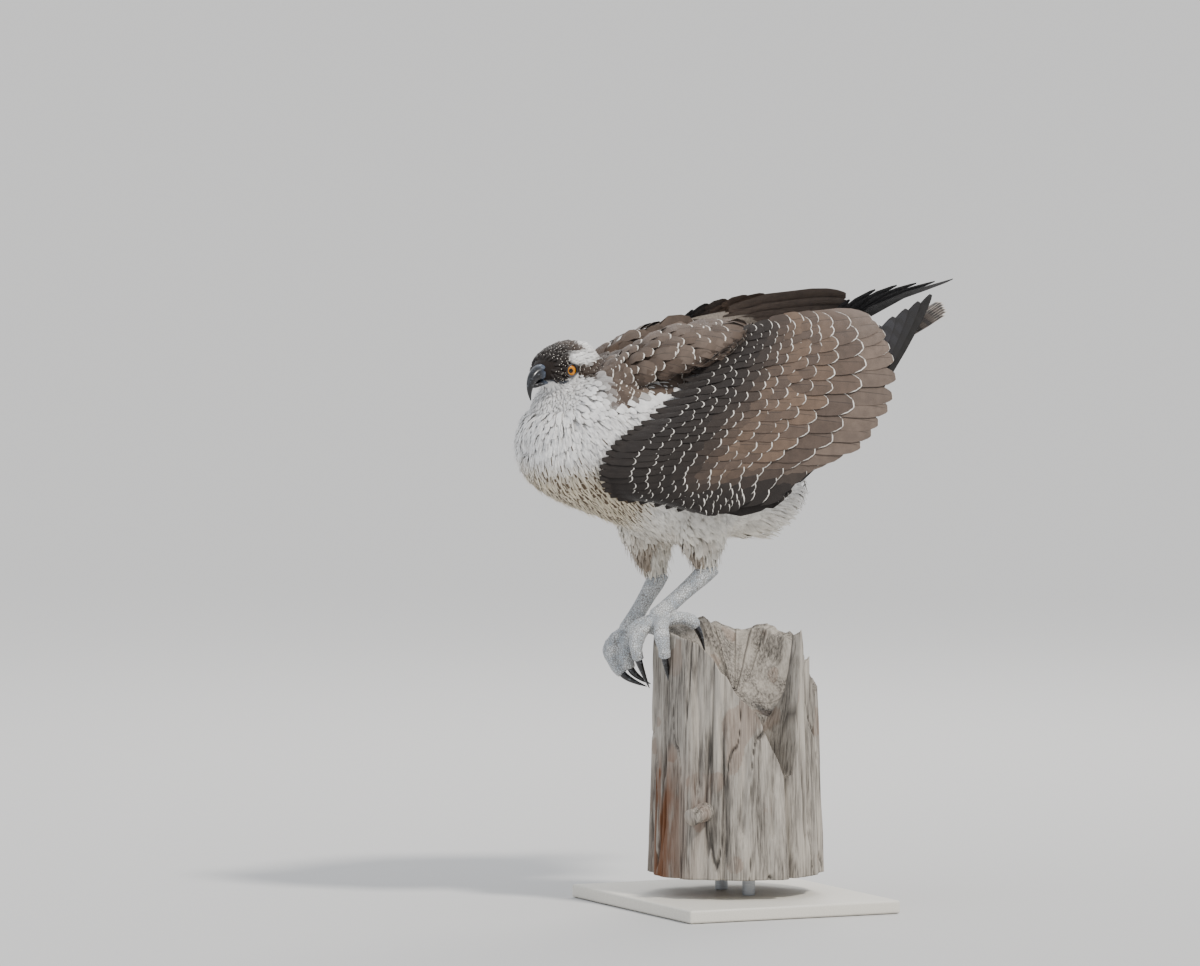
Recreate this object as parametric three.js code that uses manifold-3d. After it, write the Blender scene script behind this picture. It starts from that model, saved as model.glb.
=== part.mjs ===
// A life-size osprey, leaning forward on the broken top of a weathered trunk, on a plain stand.
// Millimetres, +Z up. The bird faces -Y and its left side is +X. The origin is the middle of the
// underside of the stand's base.
import * as THREE from "three";
import { mergeVertices } from "three/addons/utils/BufferGeometryUtils.js";
import Module from "manifold-3d";

const wasm = await Module();
wasm.setup();

// Driving sizes of the bird, in its own frame: x from its midline, y towards the tail, z from the floor.
const MIDLINE_X = -48; // where the bird's midline stands, from the middle of the base
const GAP = 0.35; // air between pieces that touch
const VANE_THICK = 1.1;

const TORSO_STATIONS = [
  // y, top, bottom, half width
  [-225, 507, 482, 20],
  [-216, 535, 462, 42],
  [-200, 556, 448, 57],
  [-172, 580, 434, 69],
  [-135, 598, 420, 76],
  [-90, 606, 402, 78],
  [-40, 610, 388, 76],
  [10, 607, 396, 68],
  [55, 592, 424, 56],
  [90, 572, 468, 42],
  [118, 560, 500, 28],
];
const NECK_STATIONS = [
  // z, middle y, half width, half length
  [470, -165, 40, 42],
  [500, -168, 46, 48],
  [525, -171, 47, 49],
  [546, -171, 43, 46],
  [560, -167, 36, 40],
  [570, -163, 28, 32],
];
const HEAD_CENTRE = new THREE.Vector3(3, -192, 580);
const HEAD_TURN = 29; // degrees to the bird's left
const HEAD_NOD = 6; // degrees down
const HEAD_STATIONS = [
  // forward, half width, top, bottom
  [31, 11, 12, -5],
  [25, 17, 17, -11.5],
  [18, 21, 21, -16],
  [10, 24, 24.5, -19.5],
  [1, 26, 27, -23],
  [-9, 28, 29, -27],
  [-20, 29, 30, -31],
  [-31, 29, 29.5, -34],
  [-42, 27, 26, -35],
  [-52, 22, 18, -31],
  [-60, 12, 5, -20],
];
const EYE_RADIUS = 8.6;
const EYE_PLACE = [2.5, 19, 2]; // forward, out to the side, up
const BILL_BASE = 23; // how far forward of the head's centre the bill starts

const SHOULDER = new THREE.Vector3(54, -112, 548);
const LEADING = [
  [76, 0, 622],
  [88, -34, 588],
  [100, -78, 546],
  [106, -120, 514],
  [106, -146, 480],
  [104, -138, 448],
  [104, -84, 430],
];
const TRAILING = [
  [24, 171, 636],
  [42, 191, 601],
  [66, 180, 543],
  [84, 135, 499],
  [94, 74, 478],
  [102, 31, 451],
];
const WING_BULGE = 17;
const SECONDARIES = 11;
const GREATER_COVERTS = 7;
const PRIMARIES = 6;
const HAND_PATH = [
  [76, -112, 464],
  [75, -40, 448],
  [71, 50, 464],
  [55, 128, 532],
  [35, 188, 603],
  [12, 240, 661],
];
const FAR_HAND_PATH = [
  [76, -106, 464],
  [75, -33, 453],
  [68, 52, 474],
  [50, 122, 552],
  [26, 188, 640],
  [6, 288, 678],
];
const TIP_LIFT = 7; // how far the trailing feathers stand clear of the ones below
const FAR_WING_LIFT = 4; // degrees that the far wing is turned up
const FAR_ARM_DROP = 4; // how far the far upper arm lies below the near one

const TAIL_BASE = new THREE.Vector3(0, 92, 545);
const TAIL_RISE = 29;
const TAIL_LENGTH = 205;
const TAIL_FEATHERS = 12;
const TAIL_SPREAD = 1.25; // degrees between one feather and the next

const LEGS = {
  left: {
    side: 1,
    hip: [34, -28, 440],
    heel: [40, -30, 362],
    ankle: [34, -85, 316],
  },
  right: {
    side: -1,
    hip: [-34, -60, 432],
    heel: [-32, -55, 350],
    ankle: [-34, -88, 298],
  },
};
const TRUNK_CENTRE = [-MIDLINE_X, 0];
const TRUNK_BOTTOM = 36;
const BASE_SIZE = [300, 250, 14];
const ROD_RADIUS = 7;

const V = (x, y, z) => new THREE.Vector3(x, y, z);
const lerp = THREE.MathUtils.lerp;
const rad = THREE.MathUtils.degToRad;
const smooth = THREE.MathUtils.smoothstep;

// A solid of manifold-3d from points and triangles, turned right side out.
function solidOf(points, triangles) {
  const flat = new Float32Array(points.length * 3);
  points.forEach((p, i) => flat.set([p.x, p.y, p.z], i * 3));
  const make = (tris) =>
    new wasm.Manifold(
      new wasm.Mesh({ numProp: 3, vertProperties: flat, triVerts: new Uint32Array(tris.flat()) }),
    );
  const made = make(triangles);
  return made.volume() < 0 ? make(triangles.map(([a, b, c]) => [a, c, b])) : made;
}

// Rows of points that each go once round the form, joined in order and shut by a fan at each end.
function loft(rows) {
  const around = rows[0].length;
  const points = rows.flat();
  const triangles = [];
  for (let r = 0; r + 1 < rows.length; r++)
    for (let k = 0; k < around; k++) {
      const next = (k + 1) % around;
      const a = r * around + k,
        b = r * around + next,
        c = a + around,
        d = b + around;
      triangles.push([a, b, d], [a, d, c]);
    }
  for (const r of [0, rows.length - 1]) {
    const middle = points.length;
    points.push(rows[r].reduce((sum, p) => sum.add(p), V(0, 0, 0)).divideScalar(around));
    for (let k = 0; k < around; k++) {
      const a = r * around + k,
        b = r * around + ((k + 1) % around);
      triangles.push(r === 0 ? [middle, b, a] : [middle, a, b]);
    }
  }
  return solidOf(points, triangles);
}

// A tube along a path: each stop is a point, a half width and a half height.
function tube(stops, sides, up = V(0, 0, 1), grow = 0) {
  const rows = stops.map(([p, wide, high], i) => {
    const before = stops[Math.max(i - 1, 0)][0],
      after = stops[Math.min(i + 1, stops.length - 1)][0];
    const along = after.clone().sub(before).normalize();
    const side = along.clone().cross(up).normalize();
    const top = side.clone().cross(along).normalize();
    const push = i === 0 ? -grow : i === stops.length - 1 ? grow : 0;
    return Array.from({ length: sides }, (_, k) => {
      const turn = ((k + 0.5) / sides) * 2 * Math.PI;
      return p
        .clone()
        .addScaledVector(along, push)
        .addScaledVector(side, (wide + grow) * Math.cos(turn))
        .addScaledVector(top, ((high ?? wide) + grow) * Math.sin(turn));
    });
  });
  return loft(rows);
}

// A thin blade: place(a, b, h) gives the point at a along it, b across it from -1 to 1 and h above it.
// Both faces are split into triangles alike.
function vane(place, steps, across, thick) {
  const points = [];
  for (const face of [0.5, -0.5])
    for (let i = 0; i <= steps; i++)
      for (let j = 0; j <= across; j++) {
        const a = i / steps;
        points.push(place(a, (2 * j) / across - 1, face * thick * lerp(1, 0.55, a)));
      }
  const row = across + 1,
    face = row * (steps + 1);
  const triangles = [];
  for (let i = 0; i < steps; i++)
    for (let j = 0; j < across; j++) {
      const a = i * row + j;
      triangles.push([a, a + 1, a + row + 1], [a, a + row + 1, a + row]);
      triangles.push(
        [face + a, face + a + row + 1, face + a + 1],
        [face + a, face + a + row, face + a + row + 1],
      );
    }
  const rim = [];
  for (let j = 0; j < across; j++) rim.push(j);
  for (let i = 0; i < steps; i++) rim.push(i * row + across);
  for (let j = across; j > 0; j--) rim.push(steps * row + j);
  for (let i = steps; i > 0; i--) rim.push(i * row);
  rim.forEach((a, k) => {
    const b = rim[(k + 1) % rim.length];
    triangles.push([a, face + b, b], [a, face + a, face + b]);
  });
  return solidOf(points, triangles);
}

const join = (solids) => wasm.Manifold.union(solids);

// The largest closed body of a solid, with whatever a cut has left loose dropped.
function largest(solid) {
  const bodies = solid.decompose();
  return bodies.reduce((best, body) => (body.volume() > best.volume() ? body : best));
}

// The outline of a feather: half its width at a along it, from 0 to 1.
function featherWidth(a, half, point = 0.3) {
  const root = smooth(a, -0.25, 0.3);
  const tip = a < 0.72 ? 1 : Math.sqrt(Math.max(1 - ((a - 0.72) / 0.285) ** 2, 0));
  return half * root * Math.max(tip, point * (1 - smooth(a, 0.95, 1) * 0.5));
}

const curveThrough = (points) =>
  new THREE.CatmullRomCurve3(points.map((p) => V(...p)), false, "catmullrom", 0.5);

function ringed(stations, at, sides) {
  return loft(
    stations.map((station) =>
      Array.from({ length: sides }, (_, k) => at(station, ((k + 0.5) / sides) * 2 * Math.PI)),
    ),
  );
}

// Torso: rings across the body, fuller below than above.
function torsoSolid(grow = 0) {
  return ringed(
    TORSO_STATIONS,
    ([y, top, bottom, half], turn) => {
      const middle = lerp(bottom, top, 0.52);
      const rise = Math.sin(turn) > 0 ? top - middle : middle - bottom;
      return V(
        (half + grow) * Math.sign(Math.cos(turn)) * Math.abs(Math.cos(turn)) ** 0.92,
        y + Math.sign(y + 60) * grow,
        middle + (rise + grow) * Math.sin(turn),
      );
    },
    28,
  );
}

function neckSolid(grow = 0) {
  return ringed(
    NECK_STATIONS,
    ([z, y, half, length], turn) =>
      V((half + grow) * Math.cos(turn) - 2, y + (length + grow) * Math.sin(turn), z),
    24,
  );
}

// The head's own frame: forward, left and up.
const headFrame = new THREE.Matrix4()
  .makeTranslation(HEAD_CENTRE.x, HEAD_CENTRE.y, HEAD_CENTRE.z)
  .multiply(new THREE.Matrix4().makeRotationZ(rad(HEAD_TURN - 90)))
  .multiply(new THREE.Matrix4().makeRotationY(rad(HEAD_NOD)));
const inHead = (forward, left, up) => V(forward, left, up).applyMatrix4(headFrame);

// Brow ridges over the eyes, a hollow between eye and bill, and full cheeks.
function headPoint([forward, half, top, bottom], turn, grow) {
  const c = Math.cos(turn),
    s = Math.sin(turn);
  const side = Math.abs(c);
  const rise = s > 0 ? top : -bottom;
  const brow = 2.2 * Math.exp(-(((forward - 3) / 11) ** 2)) * Math.exp(-(((s - 0.5) / 0.22) ** 2));
  const lore = 2.4 * Math.exp(-(((forward - 13) / 6) ** 2)) * Math.exp(-((s / 0.4) ** 2));
  const cheek = 1.5 * Math.exp(-(((forward + 14) / 12) ** 2)) * Math.exp(-(((s + 0.4) / 0.3) ** 2));
  const out = 1 + (brow - lore + cheek) / Math.max(half, 12);
  return inHead(
    forward,
    (half * out + grow) * Math.sign(c) * side ** 0.9,
    (rise + grow) * s + brow * 0.5,
  );
}
function headSolid(grow = 0) {
  const last = HEAD_STATIONS.length - 1;
  const stations = HEAD_STATIONS.map(([forward, ...rest], i) => [
    forward + (i === 0 ? grow : i === last ? -grow : 0),
    ...rest,
  ]);
  return ringed(stations, (station, turn) => headPoint(station, turn, grow), 20);
}

function ballSolid(centre, radius, wide, high) {
  const ball = mergeVertices(bare(new THREE.SphereGeometry(radius, wide, high)), 1e-4);
  const place = ball.getAttribute("position");
  const points = Array.from({ length: place.count }, (_, i) =>
    V(place.getX(i), place.getY(i), place.getZ(i)).add(centre),
  );
  const index = Array.from(ball.index.array);
  const triangles = [];
  for (let i = 0; i < index.length; i += 3) triangles.push(index.slice(i, i + 3));
  return solidOf(points, triangles);
}
function bare(geometry) {
  geometry.deleteAttribute("normal");
  geometry.deleteAttribute("uv");
  return geometry;
}

const eyeCentre = (side) => inHead(EYE_PLACE[0], side * EYE_PLACE[1], EYE_PLACE[2]);

// Eyelids: a ring round the eye that stands a little proud of the face.
function lidSolid(side) {
  const centre = V(EYE_PLACE[0], side * EYE_PLACE[1], EYE_PLACE[2]);
  const out = V(0.16, side, 0.02).normalize();
  const across = V(0, 0, 1).cross(out).normalize();
  const upward = out.clone().cross(across).normalize();
  const rows = Array.from({ length: 14 }, (_, i) => {
    const turn = (i / 14) * 2 * Math.PI;
    const ray = across
      .clone()
      .multiplyScalar(Math.cos(turn))
      .addScaledVector(upward, Math.sin(turn) * 0.94);
    return Array.from({ length: 5 }, (_, k) => {
      const round = (k / 5) * 2 * Math.PI;
      const p = centre
        .clone()
        .addScaledVector(ray, 7.4 + 1.3 * Math.cos(round))
        .addScaledVector(out, 5.4 + 2.2 * Math.sin(round));
      return inHead(p.x, p.y, p.z);
    });
  });
  const points = rows.flat();
  const triangles = [];
  rows.forEach((_, i) => {
    for (let k = 0; k < 5; k++) {
      const a = i * 5 + k,
        b = i * 5 + ((k + 1) % 5),
        c = ((i + 1) % 14) * 5 + k,
        d = ((i + 1) % 14) * 5 + ((k + 1) % 5);
      triangles.push([a, b, d], [a, d, c]);
    }
  });
  return solidOf(points, triangles);
}

// Upper bill: a hooked form swept down from the cere. Each stop: forward, up, half width, half height, lean.
const UPPER_BILL = [
  [BILL_BASE - 6, 3.6, 9.6, 8.4, 0],
  [BILL_BASE + 1, 3.6, 9.8, 8.6, 4],
  [BILL_BASE + 8, 3, 8.8, 8.2, 10],
  [BILL_BASE + 15, 1.4, 7, 7, 22],
  [BILL_BASE + 21, -2.6, 5.4, 5.8, 42],
  [BILL_BASE + 25, -8.4, 3.9, 4.3, 62],
  [BILL_BASE + 26.6, -14.8, 2.5, 2.8, 80],
  [BILL_BASE + 26.2, -20.4, 1.3, 1.5, 92],
  [BILL_BASE + 25.4, -24.4, 0.5, 0.6, 96],
];
const LOWER_BILL = [
  [BILL_BASE - 9, -7.4, 7.6, 2.6, 0],
  [BILL_BASE + 2, -7.8, 7.4, 3.2, 0],
  [BILL_BASE + 11, -8.6, 6.2, 3.2, 0],
  [BILL_BASE + 17, -9.6, 4.2, 2.6, 6],
  [BILL_BASE + 20.5, -10.4, 1.6, 1.2, 10],
];
function billSolid(stops, sides, grow = 0) {
  return loft(
    stops.map(([forward, up, half, high, lean], i) =>
      Array.from({ length: sides }, (_, k) => {
        const turn = ((k + 0.5) / sides) * 2 * Math.PI;
        const lift = (high + grow) * Math.sin(turn);
        return inHead(
          forward - (i === 0 ? grow : 0) + lift * Math.sin(rad(lean)),
          (half + grow) * Math.cos(turn),
          up + lift * Math.cos(rad(lean)),
        );
      }),
    ),
  );
}

// The wing's outer surface at s from elbow to wrist, t from leading to trailing edge, h outwards.
const leading = curveThrough(LEADING);
const trailing = curveThrough(TRAILING);
function onCurve(curve, a) {
  const kept = THREE.MathUtils.clamp(a, 0, 1);
  const beyond = a - kept;
  const p = curve.getPoint(kept);
  if (beyond) p.addScaledVector(curve.getTangent(kept), beyond * curve.getLength());
  return p;
}
function sheetPoint(s, t, h = 0) {
  const flat = (a, b) => onCurve(leading, a).lerp(onCurve(trailing, a), b);
  const bulge = (a, b) => {
    const p = flat(a, b);
    const swell = WING_BULGE * Math.sin(Math.PI * THREE.MathUtils.clamp(0.12 + 0.88 * b, 0, 1));
    return p.add(V(0.9, 0, 0.42).multiplyScalar(swell * (0.55 + 0.45 * Math.sin(Math.PI * a))));
  };
  const step = 0.01;
  const p = bulge(s, t);
  const alongS = bulge(s + step, t).sub(bulge(s - step, t));
  const alongT = bulge(s, t + step).sub(bulge(s, t - step));
  const normal = alongT.cross(alongS).normalize();
  if (normal.x < 0) normal.negate();
  return p.addScaledVector(normal, h);
}

// The forearm: a rounded body behind the leading edge, thinning out under the coverts.
function forearmSolid() {
  const rows = [];
  for (let i = 0; i <= 12; i++) {
    const s = lerp(0.02, 0.98, i / 12);
    const ring = [];
    const depth = (t) => 15 * Math.sin(Math.PI * Math.min(0.22 + t * 0.85, 1)) ** 0.8;
    for (let k = 0; k <= 5; k++) {
      const t = 0.56 * (k / 5);
      ring.push(sheetPoint(s, t, lerp(-0.8, -6.8, smooth(t, 0.3, 0.56)) - (k === 0 ? 3.5 : 0)));
    }
    for (let k = 5; k >= 0; k--) {
      const t = 0.56 * (k / 5) + 0.004;
      ring.push(sheetPoint(s, t, -2.4 - Math.max(depth(t), 6.6)));
    }
    rows.push(ring);
  }
  return loft(rows);
}

// One feather that lies along the wing's surface. Neighbours keep one step apart in height.
function wingVane({ s, from, to, half, spacing, base, step, thick = VANE_THICK, steps = 5, tip = 0.35 }) {
  const place = (a, b, h) => {
    const shift = b * featherWidth(a, half, tip);
    const t = lerp(from, to - 0.012 * b * b, a);
    const rooted = lerp(-2.2, 0, smooth(a, 0, 0.3));
    return sheetPoint(
      THREE.MathUtils.clamp(s + shift, -0.06, 1.04),
      t,
      base + rooted + TIP_LIFT * smooth(t, 0.55, 1) - (step * shift) / spacing + h,
    );
  };
  return vane(place, steps, 2, thick);
}

function innerWing() {
  const pieces = [forearmSolid()];
  for (let i = 0; i < SECONDARIES; i++) {
    const spacing = 0.94 / (SECONDARIES - 1);
    const s = 0.02 + i * spacing;
    const reach = 1 + 0.012 * Math.sin(i * 2.4);
    pieces.push(
      wingVane({ s, from: 0.3, to: reach, half: spacing * 1.25, spacing, base: -8.6, step: 1.75, steps: 3 }),
    );
  }
  for (let i = 0; i < GREATER_COVERTS; i++) {
    const spacing = 0.9 / (GREATER_COVERTS - 1);
    const s = 0.04 + i * spacing;
    const reach = 0.8 + 0.012 * Math.sin(i * 1.9);
    pieces.push(
      wingVane({
        s, from: 0.26, to: reach, half: spacing * 1.1, spacing, base: -2.4, step: 1.5, steps: 3,
      }),
    );
  }
  return join(pieces);
}

// The hand: its primaries lie together under the secondaries and cross to the tail.
function handPoint(hand, t, across, h) {
  const p = hand.getPoint(Math.min(t, 1));
  const along = hand.getTangent(Math.min(t, 1));
  const out = V(1, 0, lerp(0.2, 1.7, smooth(t, 0.45, 1)));
  const side = along.clone().cross(out).normalize();
  const normal = side.clone().cross(along).normalize();
  if (normal.x < 0) normal.negate();
  if (side.z > 0) side.negate();
  return p.addScaledVector(side, across).addScaledVector(normal, h);
}
function handWing(path) {
  const hand = curveThrough(path);
  const pieces = [
    loft(
      [0, 0.06, 0.14, 0.24, 0.34, 0.44].map((t, i) => {
        const wide = [9, 13, 15, 13, 10, 6][i],
          deep = [5, 8, 9, 7.5, 6, 5][i];
        return Array.from({ length: 10 }, (_, k) => {
          const turn = (k / 10) * 2 * Math.PI;
          return handPoint(hand, t, wide * Math.cos(turn), deep * Math.sin(turn));
        });
      }),
    ),
  ];
  for (let i = 0; i < PRIMARIES; i++) {
    const share = i / (PRIMARIES - 1);
    const reach = lerp(0.7, 1, share ** 0.8);
    const lane = lerp(-9, 9, share);
    const place = (a, b, h) => {
      const t = lerp(0.2 + 0.03 * i, reach, a);
      const narrow = featherWidth(a, 12 - 3.5 * smooth(a, 0.5, 1) * share, 0.16);
      const fan = lane * lerp(0.7, 1.5, a) - 16 * smooth(a, 0.4, 1) * (1 - share);
      const rise = (3.2 - 1.5 * i) * smooth(a, 0, 0.25) + b * 0.3;
      return handPoint(hand, t, fan + b * narrow, rise + h);
    };
    pieces.push(vane(place, 4, 2, VANE_THICK));
  }
  return join(pieces);
}

// The upper arm under the scapulars: an oval form with long scapular feathers over its rear end.
const UPPER_ARM = [
  [34, -150, 572, 20, 10],
  [44, -120, 585, 29, 15],
  [53, -84, 600, 33, 15],
  [60, -48, 611, 31, 13],
  [62, -14, 619, 25, 9],
  [60, 14, 624, 16, 5],
];
function armForm(grow = 0) {
  const stops = UPPER_ARM.map(([x, y, z, wide, high]) => [V(x, y, z), wide, high]);
  return tube(stops, 14, V(0.62, -0.2, 0.76), grow);
}
function upperArm(grow = 0) {
  const pieces = [armForm(grow)];
  const path = curveThrough(UPPER_ARM.map(([x, y, z]) => [x, y, z]));
  const ray = V(0.62, -0.2, 0.76).normalize();
  for (let i = 0; i < 4; i++) {
    const lane = lerp(-22, 22, i / 3);
    const start = path.getPoint(0.62);
    const place = (a, b, h) => {
      const p = start.clone();
      const reach = 74 - 8 * Math.abs(i - 1.5);
      p.x += lane * 0.7 * (1 - 0.35 * a) - 14 * a;
      p.y += (reach + 2 * grow) * a;
      p.z += 20 * a - lane * 0.55 * (1 - 0.3 * a) - 9 * a * a;
      const side = V(0.78, 0.05, -0.6);
      const rise = lerp(6, 19, smooth(a, 0, 0.35)) - 1.7 * i + 3.4 - 7 * a;
      return p.addScaledVector(side, b * (featherWidth(a, 11) + 1.4 * grow)).addScaledVector(ray, rise + h);
    };
    pieces.push(vane(place, 3, 2, VANE_THICK + 2.4 * grow));
  }
  return join(pieces);
}

// Tail: a short fleshy root and twelve feathers, the middle pair on top.
function tailSolid() {
  const rise = rad(TAIL_RISE);
  const along = V(0, Math.cos(rise), Math.sin(rise));
  const up = V(0, -Math.sin(rise), Math.cos(rise));
  const at = (reach, across, h) =>
    TAIL_BASE.clone().addScaledVector(along, reach).addScaledVector(up, h).add(V(across, 0, 0));
  const pieces = [
    loft(
      [
        [-22, 26, 16],
        [0, 25, 15],
        [26, 21, 11.5],
        [52, 15, 9.5],
        [66, 10, 8],
      ].map(([reach, wide, high]) =>
        Array.from({ length: 16 }, (_, k) => {
          const turn = (k / 16) * 2 * Math.PI;
          return at(reach, wide * Math.cos(turn), high * Math.sin(turn));
        }),
      ),
    ),
  ];
  for (let i = 0; i < TAIL_FEATHERS; i++) {
    const place12 = i - (TAIL_FEATHERS - 1) / 2;
    const order = Math.abs(place12) - 0.5;
    const turn = rad(place12 * TAIL_SPREAD);
    const height = 3.6 - 1.35 * order - (place12 > 0 ? 0.68 : 0);
    const length = TAIL_LENGTH - 4 - 1.1 * order * order * 0.25;
    const place = (a, b, h) => {
      const reach = lerp(24, length, a) - 3 * b * b * a;
      const across = Math.sin(turn) * reach * 0.9 + place12 * 1.1;
      const rooted = lerp(-1, 0, smooth(a, 0, 0.3)) - 3 * a * a;
      return at(reach, across + b * featherWidth(a, 11.5, 0.55), height + rooted + h);
    };
    pieces.push(vane(place, 3, 2, 0.95));
  }
  return join(pieces);
}

// Soft tufts under the tail, as flat tapered locks on a short core.
function ventSolid() {
  const core = loft(
    [
      [10, 20, 34, 24, 424],
      [34, 24, 38, 30, 430],
      [58, 24, 36, 30, 444],
      [80, 18, 28, 24, 462],
    ].map(([y, , half, high, z]) =>
      Array.from({ length: 14 }, (_, k) => {
        const turn = (k / 14) * 2 * Math.PI;
        return V(half * Math.cos(turn), y, z + high * Math.sin(turn));
      }),
    ),
  );
  const pieces = [core];
  for (let row = 0; row < 2; row++)
    for (let i = 0; i < 5; i++) {
      const lane = (i - 2) / 2;
      const turn = lane * 1.1 + (row % 2) * 0.12;
      const out = V(Math.sin(turn) * 0.85, 0.55 + 0.25 * row, -Math.cos(turn) * (0.85 - 0.3 * row)).normalize();
      const root = V(26 * Math.sin(turn), 26 + 22 * row, 432 + 12 * row - 14 * Math.cos(turn));
      const side = V(Math.cos(turn), 0, Math.sin(turn));
      const flat = out.clone().cross(side).normalize();
      const reach = 44 - 3 * row + 4 * Math.sin(i * 2.1 + row);
      const place = (a, b, h) =>
        root
          .clone()
          .addScaledVector(out, reach * a)
          .addScaledVector(side, b * lerp(11, 1.4, a ** 1.4))
          .addScaledVector(flat, h * 2.4 * (1 - 0.6 * a))
          .add(V(0, 9 * a * a, 5 * a * a));
      pieces.push(vane(place, 2, 1, 1.6));
    }
  return join(pieces);
}

// Feathered thighs, bare shanks, and feet with knobbly toes.
function thighSolid({ hip, heel }) {
  const top = V(...hip),
    low = V(...heel);
  const stop = (share, wide, deep, dy = 0) => {
    const p = top.clone().lerp(low, share);
    p.y += dy;
    return [p, wide, deep];
  };
  return tube(
    [
      stop(0, 30, 34, -8),
      stop(0.25, 29, 33, -8),
      stop(0.5, 23, 27, -6),
      stop(0.72, 17, 20, -4),
      stop(0.9, 11.5, 14, -1),
      stop(1, 8.5, 10.5, 0),
    ],
    14,
    V(0, 1, 0),
  );
}
function shankStops({ heel, ankle }, cut) {
  const top = V(...heel),
    low = V(...ankle);
  const along = low.clone().sub(top).normalize();
  const at = (share, r) => [top.clone().lerp(low, share), r, r * 1.08];
  const start = [top.clone().addScaledVector(along, cut), 10.4, 11.4];
  return [start, at(0.3, 9.4), at(0.55, 8.8), at(0.8, 9), at(1, 9.8)];
}

// Toes: each is a list of points from the sole's middle, relative to the ankle, and the radius there.
const TOES = {
  left: [
    [[0, -4, -6, 9], [2, -18, -13, 7.8], [3, -27, -25, 8.4], [4, -28, -37, 7], [3, -25, -47, 6.8]],
    [[8, 0, -6, 9], [22, -7, -11, 8], [30, -10, -21, 8.8], [33, -9, -33, 7.2], [31, -7, -43, 7.4]],
    [[4, 8, -5, 8.4], [10, 22, -3, 7.4], [14, 32, -6, 8], [15, 38, -13, 6.4]],
    [[-6, 0, -6, 8.4], [-16, -10, -9, 7.2], [-21, -18, -16, 7.8], [-21, -20, -26, 6.2]],
  ],
  right: [
    [[0, -4, -7, 9], [4, -17, -15, 8], [7, -22, -28, 8.4], [11, -21, -40, 7], [16, -15, -49, 6.4]],
    [[-6, 0, -6, 8.8], [-15, -9, -13, 7.6], [-17, -15, -26, 8.2], [-12, -13, -38, 6.8]],
    [[6, -2, -8, 8.4], [16, -10, -18, 7.4], [19, -12, -31, 8], [21, -8, -43, 6.4]],
    [[2, 8, -4, 8.4], [2, 20, -1, 7.2], [3, 31, -3, 7.8], [5, 38, -10, 6.2]],
  ],
};
const CLAW_CURLS = {
  left: [[-2, 12, -22], [-4, 8, -22], [0, 2, -20], [0, 8, -20]],
  right: [[14, 16, -4], [8, 16, -8], [8, 18, -6], [2, 2, -20]],
};
function toeStops(leg, toe) {
  const foot = V(...leg.ankle);
  return toe.map(([x, y, z, r]) => [foot.clone().add(V(x, y, z)), r, r * 0.92]);
}
function footSolid(leg, toes, grow = 0) {
  const foot = V(...leg.ankle);
  const pieces = toes.map((toe) => tube(toeStops(leg, toe), 8, V(0.3, 0.2, 1), grow));
  pieces.push(ballSolid(foot.clone().add(V(1, 0, -3)), 11 + grow, 12, 8));
  return join(pieces);
}
function clawSolid(leg, toe, curl, grow = 0) {
  const stops = toeStops(leg, toe);
  const last = stops[stops.length - 1][0],
    before = stops[stops.length - 2][0];
  const along = last.clone().sub(before).normalize();
  const bend = V(...curl);
  const path = [0, 0.22, 0.45, 0.7, 0.88, 1].map((share, i) => {
    const p = last
      .clone()
      .addScaledVector(along, GAP + 19 * share * (1 - 0.35 * share))
      .addScaledVector(bend, 0.9 * share * share);
    return [p, [4.3, 4.1, 3.4, 2.3, 1.3, 0.45][i]];
  });
  return tube(path, 6, V(0.3, 0.9, 0.4), grow);
}

// Trunk: a weathered snag. Its front is broken away along a slope, and spires stand on its right.
const TRUNK_RIM = [
  // turn round the trunk in degrees, height of the rim
  [0, 182],
  [14, 138],
  [22, 150],
  [29, 262],
  [34, 304],
  [41, 262],
  [50, 272],
  [60, 228],
  [80, 246],
  [105, 288],
  [130, 298],
  [155, 292],
  [180, 306],
  [205, 296],
  [225, 280],
  [245, 276],
  [262, 292],
  [280, 300],
  [304, 290],
  [316, 275],
  [326, 257],
  [338, 230],
  [350, 214],
  [360, 182],
];
function trunkRim(turn) {
  const degrees = (THREE.MathUtils.radToDeg(turn) + 360) % 360;
  const next = TRUNK_RIM.findIndex(([at]) => at > degrees);
  const [from, low] = TRUNK_RIM[next - 1],
    [to, high] = TRUNK_RIM[next];
  return lerp(low, high, (degrees - from) / (to - from));
}
// Main splits down the trunk: turn in degrees, depth, and the shares of the height that they run between.
const TRUNK_SPLITS = [
  [1.25, 3.4, 0.25, 1.2],
  [16.25, 8, -0.2, 1.2],
  [36.25, 4.2, 0.1, 0.8],
  [51.25, 5, 0.35, 1.2],
  [71.25, 3.6, -0.2, 0.75],
  [91.25, 4.8, 0.2, 1.2],
  [111.25, 3.8, -0.2, 0.6],
  [126.25, 4.6, 0.4, 1.2],
  [146.25, 5.2, -0.2, 0.9],
  [166.25, 3.6, 0.3, 1.2],
  [186.25, 4.8, -0.2, 0.7],
  [206.25, 3.8, 0.45, 1.2],
  [221.25, 4.6, -0.2, 0.85],
  [241.25, 4, 0.2, 1.2],
  [256.25, 5.6, -0.2, 0.65],
  [276.25, 4.4, 0.1, 1.2],
  [291.25, 3.8, -0.2, 0.55],
  [306.25, 5, 0.3, 1.2],
  [326.25, 5.4, -0.2, 0.9],
  [341.25, 4, 0.15, 0.8],
];
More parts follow.
